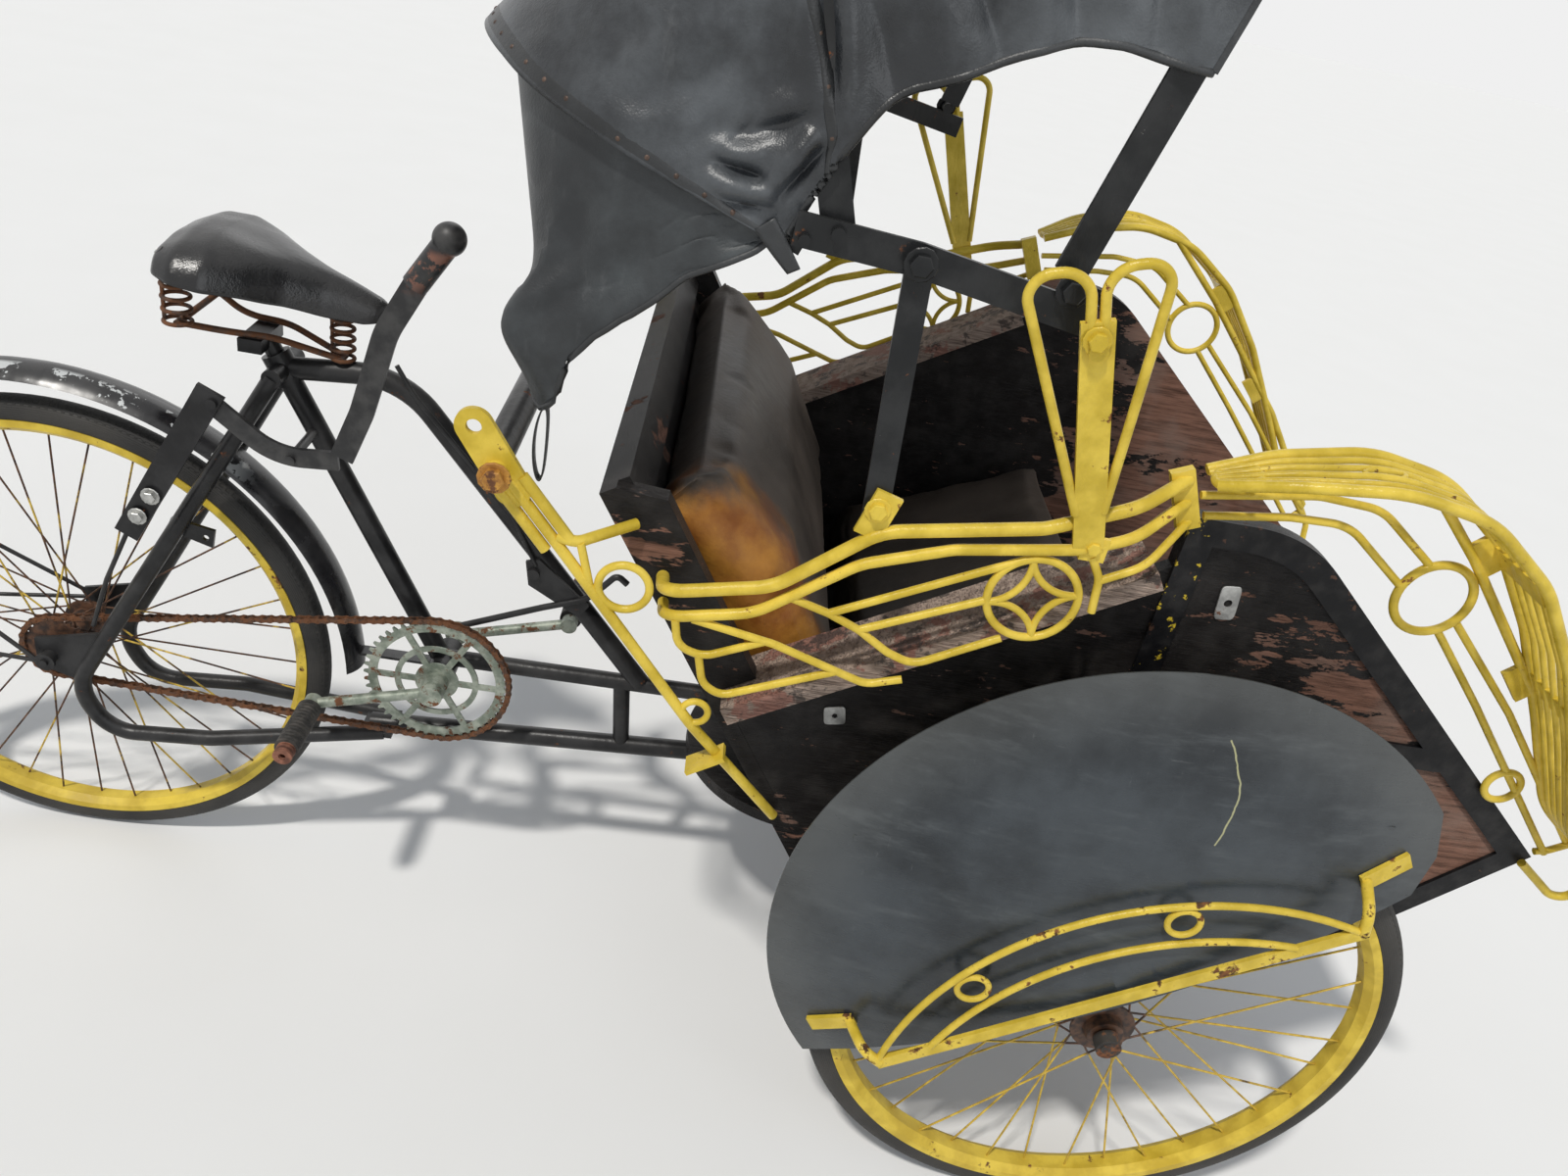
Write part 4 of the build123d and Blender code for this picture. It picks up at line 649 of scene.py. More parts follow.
# Folds on the sides. Each row: X and Z of one end, X and Z of the other, half width, height of the crest.
FOLDS = (
    (-0.598, 1.213, -0.555, 1.208, 0.0080, 0.0085), (-0.600, 1.238, -0.570, 1.237, 0.0085, 0.0070),
    (-0.594, 1.226, -0.561, 1.222, 0.0055, -0.0100), (-0.586, 1.200, -0.551, 1.201, 0.0060, -0.0070),
    (-0.557, 1.214, -0.528, 1.257, 0.0070, 0.0085), (-0.544, 1.212, -0.518, 1.250, 0.0055, -0.0090),
    (-0.582, 1.246, -0.535, 1.271, 0.0080, -0.0075), (-0.580, 1.264, -0.532, 1.290, 0.0100, 0.0060),
    (-0.624, 1.238, -0.578, 1.262, 0.0130, -0.0050), (-0.664, 1.286, -0.604, 1.330, 0.0150, 0.0065),
    (-0.655, 1.262, -0.596, 1.302, 0.0130, -0.0055), (-0.690, 1.240, -0.626, 1.248, 0.0110, 0.0045),
    (-0.552, 1.356, -0.540, 1.300, 0.0090, 0.0060), (-0.540, 1.370, -0.516, 1.296, 0.0070, -0.0080),
    (-0.520, 1.362, -0.501, 1.275, 0.0085, 0.0070), (-0.505, 1.372, -0.470, 1.300, 0.0090, -0.0060),
    (-0.470, 1.400, -0.425, 1.325, 0.0120, 0.0075), (-0.445, 1.420, -0.402, 1.345, 0.0085, -0.0080),
    (-0.400, 1.430, -0.370, 1.358, 0.0110, 0.0070), (-0.372, 1.440, -0.345, 1.368, 0.0080, -0.0075),
    (-0.340, 1.450, -0.318, 1.372, 0.0120, 0.0065), (-0.305, 1.460, -0.285, 1.370, 0.0090, -0.0080),
    (-0.276, 1.460, -0.258, 1.368, 0.0100, 0.0070), (-0.560, 1.420, -0.500, 1.400, 0.0120, -0.0050),
)


def hoop_grid(foot, shoulder, roof, half, corner, counts):
    """Hoops over the cab, one a row: up the right side, round a quarter of an ellipse, across the middle, and
    down the left side as a mirror image. Feet, shoulders and tops are rows of X and Z."""
    leg, arc, flat = counts
    up = np.linspace(0, 1, leg, endpoint=False)[None, :, None]
    turn = np.linspace(0, math.pi / 2, arc, endpoint=False)
    side = foot[:, None] + (shoulder - foot)[:, None] * up
    bend = shoulder[:, None] + (roof - shoulder)[:, None] * np.sin(turn)[None, :, None]
    top = np.broadcast_to(roof[:, None], (len(foot), flat, 2))
    xz = np.concatenate([side, bend, top], 1)
    rounded = corner * (1 - np.cos(turn)) - half
    y = np.concatenate([np.full(leg, -half), rounded, np.linspace(corner - half, 0, flat)])
    right = np.stack([xz[..., 0], np.broadcast_to(y, xz.shape[:2]), xz[..., 1]], -1)
    return np.concatenate([right, right[:, -2::-1] * [1, -1, 1]], 1)


def hood_lines():
    """The lines of the feet, shoulders and tops from the front hoop over the middle one to the rear one. Each
    foot is then moved up its leg to the lower edge of the hood's side."""
    table = np.array(HOOPS)
    angle = np.radians(table[:, 2])
    way = np.stack([np.cos(angle), np.sin(angle)], -1)
    share = np.concatenate([np.linspace(0, 1, FRONT_ROWS, endpoint=False), np.linspace(1, 2, REAR_ROWS)])
    lines = []
    for reach in (table[:, 3] * 0, table[:, 3] - HOOD_CORNER, table[:, 3]):
        marks = table[:, :2] + way * reach[:, None]
        line = np.stack([np.interp(share, (0, 1, 2), marks[:, k]) for k in (0, 1)], -1)
        lines.append(smooth_rows(line, 8))
    foot, shoulder, roof = lines
    hem = np.array(HEM)
    legs = foot[:, None] + (shoulder - foot)[:, None] * np.linspace(0, 1, 600)[None, :, None]
    above = legs[..., 1] > np.interp(legs[..., 0], hem[:, 0], hem[:, 1])
    foot = smooth_rows(legs[np.arange(len(foot)), np.argmax(above, 1)], 3)
    return foot, shoulder, roof


def fold_height(x, z, rows):
    """The sum of ridges over the sides: each is a bell curve of the distance from a line between two points,
    higher at the line's middle, so that a crest is a rounded fold and a negative one a crease."""
    total = np.zeros_like(x)
    for x0, z0, x1, z1, half, height in rows:
        run = np.array([x1 - x0, z1 - z0])
        along_it = np.clip(((x - x0) * run[0] + (z - z0) * run[1]) / (run @ run), 0, 1)
        away = np.hypot(x - x0 - along_it * run[0], z - z0 - along_it * run[1])
        total += height * np.exp(-(away / half) ** 2) * (0.55 + 0.45 * np.sin(math.pi * along_it))
    return total


def hood_sheet():
    """The hood: hoops between the front, middle and rear bows, drawn in by a sine between them, with soft
    waves, and with folds gathered at the pivots and beside the middle bow."""
    grid = hoop_grid(*hood_lines(), HOOD_HALF, HOOD_CORNER, HOOD_COUNTS)
    out = -grid_normals(grid)
    rows, columns = grid.shape[:2]
    row = np.arange(rows)[:, None]
    share = np.where(row < FRONT_ROWS, row / FRONT_ROWS, (row - FRONT_ROWS) / (rows - 1 - FRONT_ROWS))
    between = np.abs(np.sin(math.pi * share))
    x, y, z = np.moveaxis(grid, -1, 0)
    side = np.clip((np.abs(y) - HOOD_HALF + HOOD_CORNER) / HOOD_CORNER, 0, 1)
    shift = np.where(y > 0, 0.008, 0.0)
    folds = fold_height(x + shift, z, FOLDS) * side ** 3 * np.where(y > 0, 0.8, 1.0)
    sag = -0.012 * between * (1 - 0.75 * side)
    soft = waves(x * 6 + y * 1.5, z * 7 + y * 2, 0.0030, (0.5, 1.6), 8, 11) * (0.25 + between)
    fine = waves(x * 14, z * 14 + y * 9, 0.0009, (0.8, 2.2), 8, 5) * (0.3 + between)
    creased = -0.0030 * np.exp(-np.abs(waves(x * 4, z * 5 + y * 4, 1.0, (0.6, 1.6), 5, 23)) * 9) * between
    edge = np.clip(np.minimum(row, rows - 1 - row) / 5.0, 0, 1)
    move = np.clip(sag + (soft + fine + creased + folds) * edge, -0.024, 0.008)
    # The links lie just outside the cloth here, so it stays behind them.
    move = np.where((z < 1.200) & (side > 0.95), np.minimum(move, 0.002), move)
    grid = grid + out * move[..., None] + [SHIFT, 0, 0]
    obj = mesh_object("hood_sheet", grid, [grid_faces(rows, columns)[:, ::-1]], "cab", CLOTH)
    thicken(obj, 0.0022)
    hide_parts("hood_canopy")
    return obj, grid


hood, hood_grid = hood_sheet()
hood_out = -grid_normals(hood_grid)


def on_cloth(rows, columns, lift):
    """Points of the hood's grid at fractional rows and columns, lifted off the cloth."""
    r0 = np.clip(np.floor(rows).astype(int), 0, hood_grid.shape[0] - 2)
    c0 = np.clip(np.floor(columns).astype(int), 0, hood_grid.shape[1] - 2)
    fr, fc = (rows - r0)[..., None], (columns - c0)[..., None]

    def read(values):
        near = values[r0, c0] * (1 - fr) + values[r0 + 1, c0] * fr
        far = values[r0, c0 + 1] * (1 - fr) + values[r0 + 1, c0 + 1] * fr
        return near * (1 - fc) + far * fc
    return read(hood_grid) + unit(read(hood_out)) * np.asarray(lift)[..., None]


def found_on_cloth(marks, count):
    """Fractional rows and columns of a line on the cloth that passes nearest to some marked points, given
    from the front axle."""
    marks = np.array(marks) + [SHIFT, 0, 0]
    length = travelled(marks)
    line = smooth_rows(along(np.column_stack([length / length[-1], marks]), count), 6)
    away = np.linalg.norm(line[:, None, None] - hood_grid[None], axis=-1).reshape(count, -1)
    rows, columns = np.divmod(np.argmin(away, 1), hood_grid.shape[1])
    return smooth_rows(rows.astype(float), 12), smooth_rows(columns.astype(float), 12)


def cloth_strip(name, grid, thick):
    """A flat strip of the binding's cloth, one row across it being a row of the grid."""
    obj = mesh_object(name, grid, [grid_faces(*grid.shape[:2])], "cab", BINDING)
    thicken(obj, thick, 0.0)
    return obj


def cloth_bead(name, path, radius, sides=8):
    """A piped edge or a seam of the binding's cloth along a path."""
    obj = tube(name, path, radius, "cab", BINDING, sides)
    return obj


def ribbon(name, rows, columns, thick):
    """A strip sewn on the cloth along a line of rows and columns: it reaches some rows either way, and its
    height falls off with the square of the distance from its middle line."""
    half_rows = 2.3
    share = np.linspace(-1, 1, 5)[:, None]
    crown = 0.0006 + thick * (1 - share ** 2) * 0.5
    return cloth_strip(name, on_cloth(rows + share * half_rows, columns + share * 0, crown), thick)


def bindings():
    """Strips sewn over the hood along the middle bow and the rear bow, with rivets, and piped edges."""
    rows, columns = hood_grid.shape[:2]
    count = 420
    across = np.linspace(0, columns - 1, count)
    last = rows - 3.2
    pieces = [ribbon("binding_rear", last + 0.25 * np.sin(across * 0.35), across, 0.0020)]
    # The middle strip follows the bow, but leaves it on the sides for the line of these points.
    marks = ((-0.512, -0.4258, 1.240), (-0.509, -0.4258, 1.256), (-0.521, -0.4258, 1.286),
             (-0.528, -0.4258, 1.319), (-0.547, -0.4258, 1.352), (-0.558, -0.4200, 1.395),
             (-0.575, -0.398, 1.450))
    line_rows, line_columns = found_on_cloth(marks, 90)
    middle = np.interp(across, line_columns, line_rows, right=FRONT_ROWS)
    middle = smooth_rows(middle + middle[::-1] - FRONT_ROWS, 6)
    pieces.append(ribbon("binding_middle", middle, across, 0.0026))
    edges = {"hem_front": hood_grid[0], "hem_right": hood_grid[:, 0], "hem_left": hood_grid[:, -1]}
    for name, path in edges.items():
        pieces.append(cloth_bead(name, path[::2], 0.0038))
    length = travelled(hood_grid[-4])
    picks = np.interp(np.arange(0.022, length[-1] - 0.01, 0.026), length, np.arange(columns))
    picks = picks[rng.random(len(picks)) > 0.12]
    # Each row of this: rows, columns.
    spots = [(np.full(len(picks), last), picks)]
    for z in (1.262, 1.296, 1.332):
        near = np.argmin(np.abs(on_cloth(middle, across, 0)[: count // 2, 2] - z))
        spots.append((np.full(2, middle[near]), np.array([across[near], columns - 1 - across[near]])))
    spot_rows, spot_columns = np.concatenate(spots, 1)
    facing = on_cloth(spot_rows, spot_columns, 1.0) - on_cloth(spot_rows, spot_columns, 0.0)
    base = on_cloth(spot_rows, spot_columns, 0.0022)
    rivets = domes("hood_rivets", base, facing, 0.0024, "cab", RIVET_BROWN)
    return pieces + [rivets]


def binding_tails():
    """The rear strip's loose ends, which hang past the pivots: straight lines across a bent line, which turn
    as they go down it."""
    count, lean = 24, 0.85
    line = ((0, -0.552, 1.1880), (0.4, -0.540, 1.1745), (0.75, -0.531, 1.1640), (1, -0.522, 1.1540))
    x, z = along(line, count, 2).T
    turn = np.linspace(0, 0.9, count)
    share = np.linspace(-0.0095, 0.0095, 5)[:, None, None]
    pieces = []
    for side, hand in SIDES:
        across = np.stack([-math.sin(lean) * np.cos(turn), -side * np.sin(turn) * 0.5,
                           -math.cos(lean) * np.cos(turn)], -1)
        middle = np.stack([x + SHIFT, np.full(count, side * (HOOD_HALF + 0.0022)), z], -1)
        pieces.append(cloth_strip("binding_tail_" + hand, middle + across * share, 0.0016))
    return pieces


def sewn_lines():
    """The seam round the patch on the right-hand side, and the front panel's seam."""
    patch = ((-0.783, -0.329, 1.278), (-0.781, -0.325, 1.284), (-0.732, -0.370, 1.302),
             (-0.700, -0.392, 1.308), (-0.679, -0.403, 1.309), (-0.659, -0.413, 1.307),
             (-0.655, -0.415, 1.302), (-0.651, -0.418, 1.295), (-0.659, -0.418, 1.281),
             (-0.665, -0.418, 1.270), (-0.673, -0.417, 1.262), (-0.689, -0.413, 1.254),
             (-0.704, -0.408, 1.247))
    front = ((-0.507, -0.4258, 1.358), (-0.492, -0.4258, 1.333), (-0.475, -0.4258, 1.305))
    pieces = []
    for name, radius, marks in (("patch_seam", 0.0013, patch), ("front_seam", 0.0011, front)):
        path = on_cloth(*found_on_cloth(marks, 110), 0.0004)
        pieces.append(cloth_bead(name, path, radius, 6))
    return pieces


hood_trim = bindings() + binding_tails() + sewn_lines()


# Curtain

CURTAIN_FOOT = np.array([-0.516, 1.1792])
CURTAIN_WAY = np.array([math.cos(math.radians(160)), math.sin(math.radians(160))])
CURTAIN_HALF, CURTAIN_CORNER, CURTAIN_REACH = 0.4172, 0.1812, 0.2952
CURTAIN_COUNTS = (46, 34, 46)
CURTAIN_ROWS = 72
# The curtain's lower edge. Each row: share of the way from the front of a side to the middle of the back, and
# X, Y and Z there.
CURTAIN_HEM = (
    (0.0, -0.538, -0.4172, 1.1800), (0.12, -0.556, -0.4172, 1.1620), (0.26, -0.611, -0.4172, 1.1290),
    (0.38, -0.655, -0.4172, 1.0780), (0.50, -0.706, -0.4150, 0.9960), (0.53, -0.717, -0.4100, 0.9870),
    (0.56, -0.724, -0.3950, 0.9960), (0.64, -0.712, -0.3300, 1.0120), (0.80, -0.714, -0.1700, 1.0300),
    (1.0, -0.714, 0.0, 1.0350),
)
# Folds on the curtain's sides, with columns as in FOLDS.
CURTAIN_FOLDS = (
    (-0.728, 1.170, -0.714, 1.005, 0.012, 0.0060), (-0.680, 1.156, -0.708, 1.085, 0.010, 0.0055),
    (-0.700, 1.170, -0.690, 1.060, 0.012, -0.0060), (-0.640, 1.170, -0.655, 1.105, 0.014, -0.0050),
    (-0.600, 1.175, -0.630, 1.125, 0.012, 0.0040),
)


def curtain_sheet():
    """The cloth that hangs from the rear bow: from each place along the bow a line drops to the lower edge.
    It billows rearwards near the corners, and is creased more towards the bottom."""
    reaches = (0.02, CURTAIN_REACH - CURTAIN_CORNER, CURTAIN_REACH)
    marks = [(CURTAIN_FOOT + CURTAIN_WAY * reach)[None] for reach in reaches]
    top = hoop_grid(*marks, CURTAIN_HALF, CURTAIN_CORNER, CURTAIN_COUNTS)[0]
    half_count = sum(CURTAIN_COUNTS)
    low = along(CURTAIN_HEM, half_count, 2)
    ragged = np.linspace(0, 1, half_count)
    low[:, 2] += 0.0025 * np.sin(ragged * 190) * np.exp(-((ragged - 0.45) / 0.07) ** 2)
    bottom = np.concatenate([low, low[-2::-1] * [1, -1, 1]])
    v = np.linspace(0, 1, CURTAIN_ROWS)[:, None]
    grid = top * (1 - v[..., None]) + bottom * v[..., None]
    x, y, z = np.moveaxis(grid, -1, 0)
    out = grid_normals(grid)
    out = out * np.sign(np.sum(out * (grid - [-0.45, 0, 1.15]), -1))[..., None]
    corner = np.exp(-((np.abs(y) - 0.402) / 0.028) ** 2) * np.clip((-x - 0.62) / 0.07, 0, 1)
    billow = 0.034 * np.exp(-((z - 1.058) / 0.042) ** 2) * corner
    flap = (np.abs(y) > 0.39) * 1.0
    ridges = fold_height(x, z, CURTAIN_FOLDS) * flap
    u = np.linspace(-1, 1, grid.shape[1])[None, :]
    soft = waves(u * 5 + v * 0.5, v * 1.2, 0.0045, (0.6, 1.8), 8, 31) * v ** 0.8 * (1 - 0.5 * flap)
    creases = np.exp(-np.abs(waves(u * 6, v * 1.5, 1.0, (0.6, 1.5), 5, 8)) * 8)
    drawn = -0.0035 * creases * (0.2 + v) * (1.1 - v)
    move = np.clip(soft + drawn + ridges, -0.016, 0.008) * np.clip(v * 12, 0, 1)
    grid = grid + out * move[..., None] - billow[..., None] * [1, 0, 0] + [SHIFT, 0, 0]
    obj = mesh_object("curtain_sheet", grid, [grid_faces(*grid.shape[:2])], "cab", CURTAIN_CLOTH)
    thicken(obj, 0.0020, 0.0)
    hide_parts("rear_curtain")
    return obj, grid


def tail_loops(tail):
    """A narrow strap sewn to the curtain's tail on either side, hanging in a closed loop: a tall ellipse that
    is drawn in on one half of its round."""
    turn = np.linspace(-math.pi / 2, 1.5 * math.pi, 60)
    x = tail[0] + 0.004 + 0.0075 * np.cos(turn) * (1 - 0.5 * np.cos(turn / 2) ** 2)
    z = tail[2] - 0.034 + 0.036 * np.sin(turn + math.pi)
    width = np.linspace(-0.005, 0.005, 5)[:, None]
    pieces = []
    for side, hand in SIDES:
        y = side * abs(tail[1]) + width
        pieces.append(cloth_strip("tail_loop_" + hand, np.stack(np.broadcast_arrays(x, y, z), -1), 0.0016))
    return pieces


curtain, curtain_grid = curtain_sheet()
curtain_trim = [cloth_bead("curtain_hem", curtain_grid[-1][::2], 0.0032)]
lowest = curtain_grid[-1, : curtain_grid.shape[1] // 2]
curtain_trim += tail_loops(lowest[np.argmin(lowest[:, 2])])


# Cushions

def read_points(mesh, what):
    """The places, or the normals, of a mesh's points as rows."""
    values = np.empty(len(mesh.vertices) * 3)
    mesh.vertices.foreach_get(what, values)
    return values.reshape(-1, 3)


def blown_up(obj, start, cap):
    """A cushion's points after the cloth solver has filled it with air, none moved by more than the cap."""
    cloth = obj.modifiers.new("cloth", "CLOTH")
    cloth.settings.quality = 5
    cloth.settings.use_pressure = True
    cloth.settings.uniform_pressure_force = 4.0
    cloth.settings.effector_weights.gravity = 0.0
    cloth.settings.tension_stiffness = 12
    cloth.settings.compression_stiffness = 12
    cloth.settings.bending_stiffness = 1.5
    cloth.collision_settings.use_collision = False
    for step in range(1, 19):
        bpy.context.scene.frame_set(step)
    bpy.context.view_layer.update()
    done = obj.evaluated_get(bpy.context.evaluated_depsgraph_get())
    moved = read_points(done.data, "co") - start
    obj.modifiers.clear()
    bpy.context.scene.frame_set(1)
    length = np.linalg.norm(moved, axis=1, keepdims=True)
    return start + moved * np.minimum(1, cap / np.maximum(length, 1e-9))


def puffed(node, name, material, cap, shrink):
    """A padded copy of a plain solid: remeshed finely, blown up by the cloth solver with its moves capped,
    and kept off what it lies on."""
    obj = bpy.data.objects.new(name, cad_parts[node].data.copy())
    bpy.context.scene.collection.objects.link(obj)
    bpy.context.view_layer.objects.active = obj
    remesh = obj.modifiers.new("remesh", "REMESH")
    remesh.mode = "VOXEL"
    remesh.voxel_size = 0.008
    bpy.ops.object.select_all(action="DESELECT")
    obj.select_set(True)
    bpy.ops.object.modifier_apply(modifier="remesh")
    plain = read_points(obj.data, "co")
    normals = read_points(obj.data, "normal")
    puffy = plain - normals * shrink
    obj.data.vertices.foreach_set("co", puffy.ravel())
    obj.data.update()
    puffy = blown_up(obj, puffy, cap)
    # A point of the underside or back stays on the plain solid's side of its own face.
    push = np.sum((puffy - plain) * normals, axis=1, keepdims=True)
    resting = (normals[:, 2:3] < -0.5) | (normals[:, 0:1] < -0.6)
    puffy = puffy - normals * np.where(resting, np.clip(push + 0.001, 0, None), 0)
    lo, hi = (np.array(c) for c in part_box(node))
    puffy = np.clip(puffy, lo - 0.004, hi + 0.008)
    obj.data.vertices.foreach_set("co", puffy.ravel())
    obj.data.polygons.foreach_set("use_smooth", np.full(len(obj.data.polygons), True))
    obj.data.update()
    obj.data.materials.clear()
    obj.data.materials.append(material)
    smooth = obj.modifiers.new("even", "SMOOTH")
    smooth.factor = 0.5
    smooth.iterations = 3
    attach(obj, "cab")
    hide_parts(node)


puffed("seat_cushion", "seat_pad", SEAT_COVER, 0.012, 0.004)
puffed("back_cushion", "back_pad", BACK_COVER, 0.018, 0.006)


# Saddle

# Each row: share from the saddle's rear edge to its nose, X, half width, crest Z, skirt Z.
SADDLE = ((0.0, -1.2105, 0.060, 0.9440, 0.9290), (0.03, -1.2050, 0.086, 0.9540, 0.9270),
          (0.14, -1.1780, 0.104, 0.9670, 0.9235), (0.27, -1.1450, 0.102, 0.9690, 0.9190),
          (0.42, -1.1080, 0.078, 0.9600, 0.9100), (0.56, -1.0740, 0.052, 0.9480, 0.9000),
          (0.72, -1.0340, 0.034, 0.9330, 0.8890), (0.90, -0.9900, 0.025, 0.9160, 0.8830),
          (0.97, -0.9730, 0.020, 0.9090, 0.8860), (1.0, -0.9680, 0.008, 0.9040, 0.8920))
# Rows and columns of the saddle's grid where its rivets sit.
SADDLE_RIVETS = ((4, 12), (4, 30), (4, 48), (5, 20), (5, 40), (84, 22), (84, 38), (78, 10), (78, 50))


def saddle_top():
    """The saddle's leather: across, the height falls with a power of the distance from the middle line, and
    the width, the crest and the skirt come from a table of places along its length."""
    rows, columns = 90, 61
    x, half, crest, skirt = along(SADDLE, rows, 3).T[..., None]
    a = np.linspace(-1, 1, columns)
    y = half * np.sin(a * math.pi / 2) * (1 + 0.05 * np.abs(a) ** 6)
    power = 2.6 - 0.9 * np.linspace(0, 1, rows)[:, None]
    z = crest - (crest - skirt) * np.abs(a) ** power
    grid = np.stack([x + SHIFT + 0 * a, y, z], -1)
    grid[..., 2] += 0.0008 * waves(grid[..., 0] * 6, y * 9, 1.0, (1.0, 3.0), 5, 2)
    obj = mesh_object("saddle_top", grid, [grid_faces(rows, columns)[:, ::-1]], "rear_half", LEATHER)
    thicken(obj, 0.004)
    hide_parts("saddle_leather")
    at_rivets = tuple(np.array(SADDLE_RIVETS).T)
    out = -grid_normals(grid)[at_rivets]
    rivets = domes("saddle_rivets", grid[at_rivets] + out * 0.0003, out, 0.0062, "rear_half", ZINC, 0.45)


saddle_top()


# Bolts and small fittings

def at(x, y, z):
    """A point given in millimetres from the front axle and the floor."""
    return (x / 1000 + SHIFT, y / 1000, z / 1000)


def flat_plate(name, centre, half_x, half_z, hole, thick, lean):
    """A small plate on the cab's right side with a round hole: rings of points from the hole's edge to the
    plate's edge, on the front and the back. The plate's edge is a circle whose sines and cosines are raised
    to a low power, which squares it off but for its corners."""
    count = 32
    round_edge = circle(count)
    edge = np.sign(round_edge) * np.abs(round_edge) ** 0.35 * [half_x, half_z]
    inner = round_edge * hole
    spin = np.array([[math.cos(lean), -math.sin(lean)], [math.sin(lean), math.cos(lean)]])
    rings = []
    for flat, out in ((inner, 0.0), (inner, 1.0), (edge * 0.97, 1.0), (edge, 0.8), (edge, 0.0)):
        x, z = (flat @ spin.T).T
        rings.append(np.stack([x, np.full(count, -thick * out), z], -1) + centre)
    faces = grid_faces(len(rings) + 1, count, around=True) % (len(rings) * count)
    obj = mesh_object(name, rings, [faces], "cab", ZINC, smooth=False)


def bolts(side, hand):
    """The bolts of the side rail, the handlebar and the hood, on one side."""
    facing = (0, side, 0)
    yellow = hexagon_heads("rail_bolts_" + hand, (
        (at(-409, side * 447.6, 962), facing, 0.0085), (at(-276, side * 479.5, 1158), facing, 0.0085),
        (at(-207, side * 447.6, 960), facing, 0.0065)), "cab", YELLOW)
    rusted = hexagon_heads("handlebar_bolts_" + hand, (
        (at(-747, side * 460.2, 938), facing, 0.0105),), "cab", BOLT_ORANGE)
    dark = hexagon_heads("hood_bolts_" + hand, (
        (at(-424, side * 448.8, 1184), facing, 0.010), (at(-297, side * 443.6, 1184), facing, 0.010)),
        "cab", BOW_BLACK)


def wing_eye(side, hand):
    """The oval ring in the middle of a wing's comb."""
    eye = closed_ring("wing_eye_" + hand, at(24, side * 444.5, 1077), (0.0178, 0, 0.0022), (0, 0.0088, 0),
                      0.0025, "cab", YELLOW)


for maker in (bolts, wing_eye):
    for side, hand in SIDES:
        maker(side, hand)
flat_plate("hole_plate", at(-35, -393.4, 898), 0.0105, 0.0195, 0.0042, 0.0018, 0.12)
flat_plate("square_plate", at(-390, -393.4, 690), 0.0115, 0.0115, 0.0030, 0.0020, 0.20)


# Chain

CHAIN_Y = -0.045
PITCH = 0.0127
SPROCKET = np.array([REAR_AXLE_X, AXLE_Z])
SPROCKET_TEETH, RING_TEETH = 22, 48


def chain_line():
    """Centres of the chain's pins: even steps along two arcs and the two straight runs that touch both."""
    # The pins run this far outside the pitch circles, so that the links clear the teeth.
    lift = 0.0030
    small, large = (PITCH / (2 * math.sin(math.pi / teeth)) + lift for teeth in (SPROCKET_TEETH, RING_TEETH))
    run = np.array(CRANK) - SPROCKET
    base = math.atan2(run[1], run[0])
    lean = math.asin((large - small) / np.linalg.norm(run))
    high, low = base + math.pi / 2 + lean, base - math.pi / 2 - lean
    arcs = []
    for centre, radius, start, end in ((CRANK, large, low, high), (SPROCKET, small, high, low + 2 * math.pi)):
        turn = np.linspace(start, end, 400)
        arcs.append(centre + radius * np.stack([np.cos(turn), np.sin(turn)], -1))
    path = np.concatenate([*arcs, arcs[0][:1]])
    length = travelled(path)
    count = 2 * round(length[-1] / PITCH / 2)
    steps = np.linspace(0, length[-1], count, endpoint=False)
    return np.stack([np.interp(steps, length, path[:, k]) for k in (0, 1)], -1)


def link_plates(pins):
    """Pairs of side plates from pin to pin, by turns inside and outside, each the outline of two circles
    joined by a narrower waist: points and the faces of a plate's rim and sides."""
    cap_radius, waist = 0.0042, 0.0030
    following = np.roll(pins, -1, axis=0)
    way = unit(following - pins)
    across = np.stack([-way[:, 1], way[:, 0]], -1)
    half = np.linalg.norm(following - pins, axis=1) / 2
    turn = np.linspace(-math.pi / 2, math.pi / 2, 6)
    cap = np.stack([np.cos(turn), np.sin(turn)], -1) * cap_radius
    # Along and across a link, for a link of no length, and which way the half length moves each point.
    outline = np.concatenate([cap, [[0, waist]], -cap, [[0, -waist]], [[0, 0]]])
    ends = np.concatenate([np.ones(6), [0], -np.ones(6), [0, 0]])
    run = outline[:, 0] + half[:, None] * ends
    middle = (pins + following) / 2
    flat = middle[:, None] + run[..., None] * way[:, None] + outline[:, 1:] * across[:, None]
    near, far = np.where(np.arange(len(pins)) % 2, [[0.0036], [0.0045]], [[0.0024], [0.0033]])
    plates = []
    for side in (-1, 1):
        for y in (near, far)[::side]:
            depth = np.broadcast_to((CHAIN_Y + side * y)[:, None], flat.shape[:2])
            plates.append(np.stack([flat[..., 0], depth, flat[..., 1]], -1))
    n = len(outline) - 1
    i = np.arange(n)
    j = (i + 1) % n
    rim = np.stack([i, i + n + 1, j + n + 1, j], -1)
    inner = np.stack([i, j, np.full(n, n)], -1)
    outer = np.stack([j + n + 1, i + n + 1, np.full(n, 2 * n + 1)], -1)
    return np.stack(plates, 1), [rim, inner, outer]


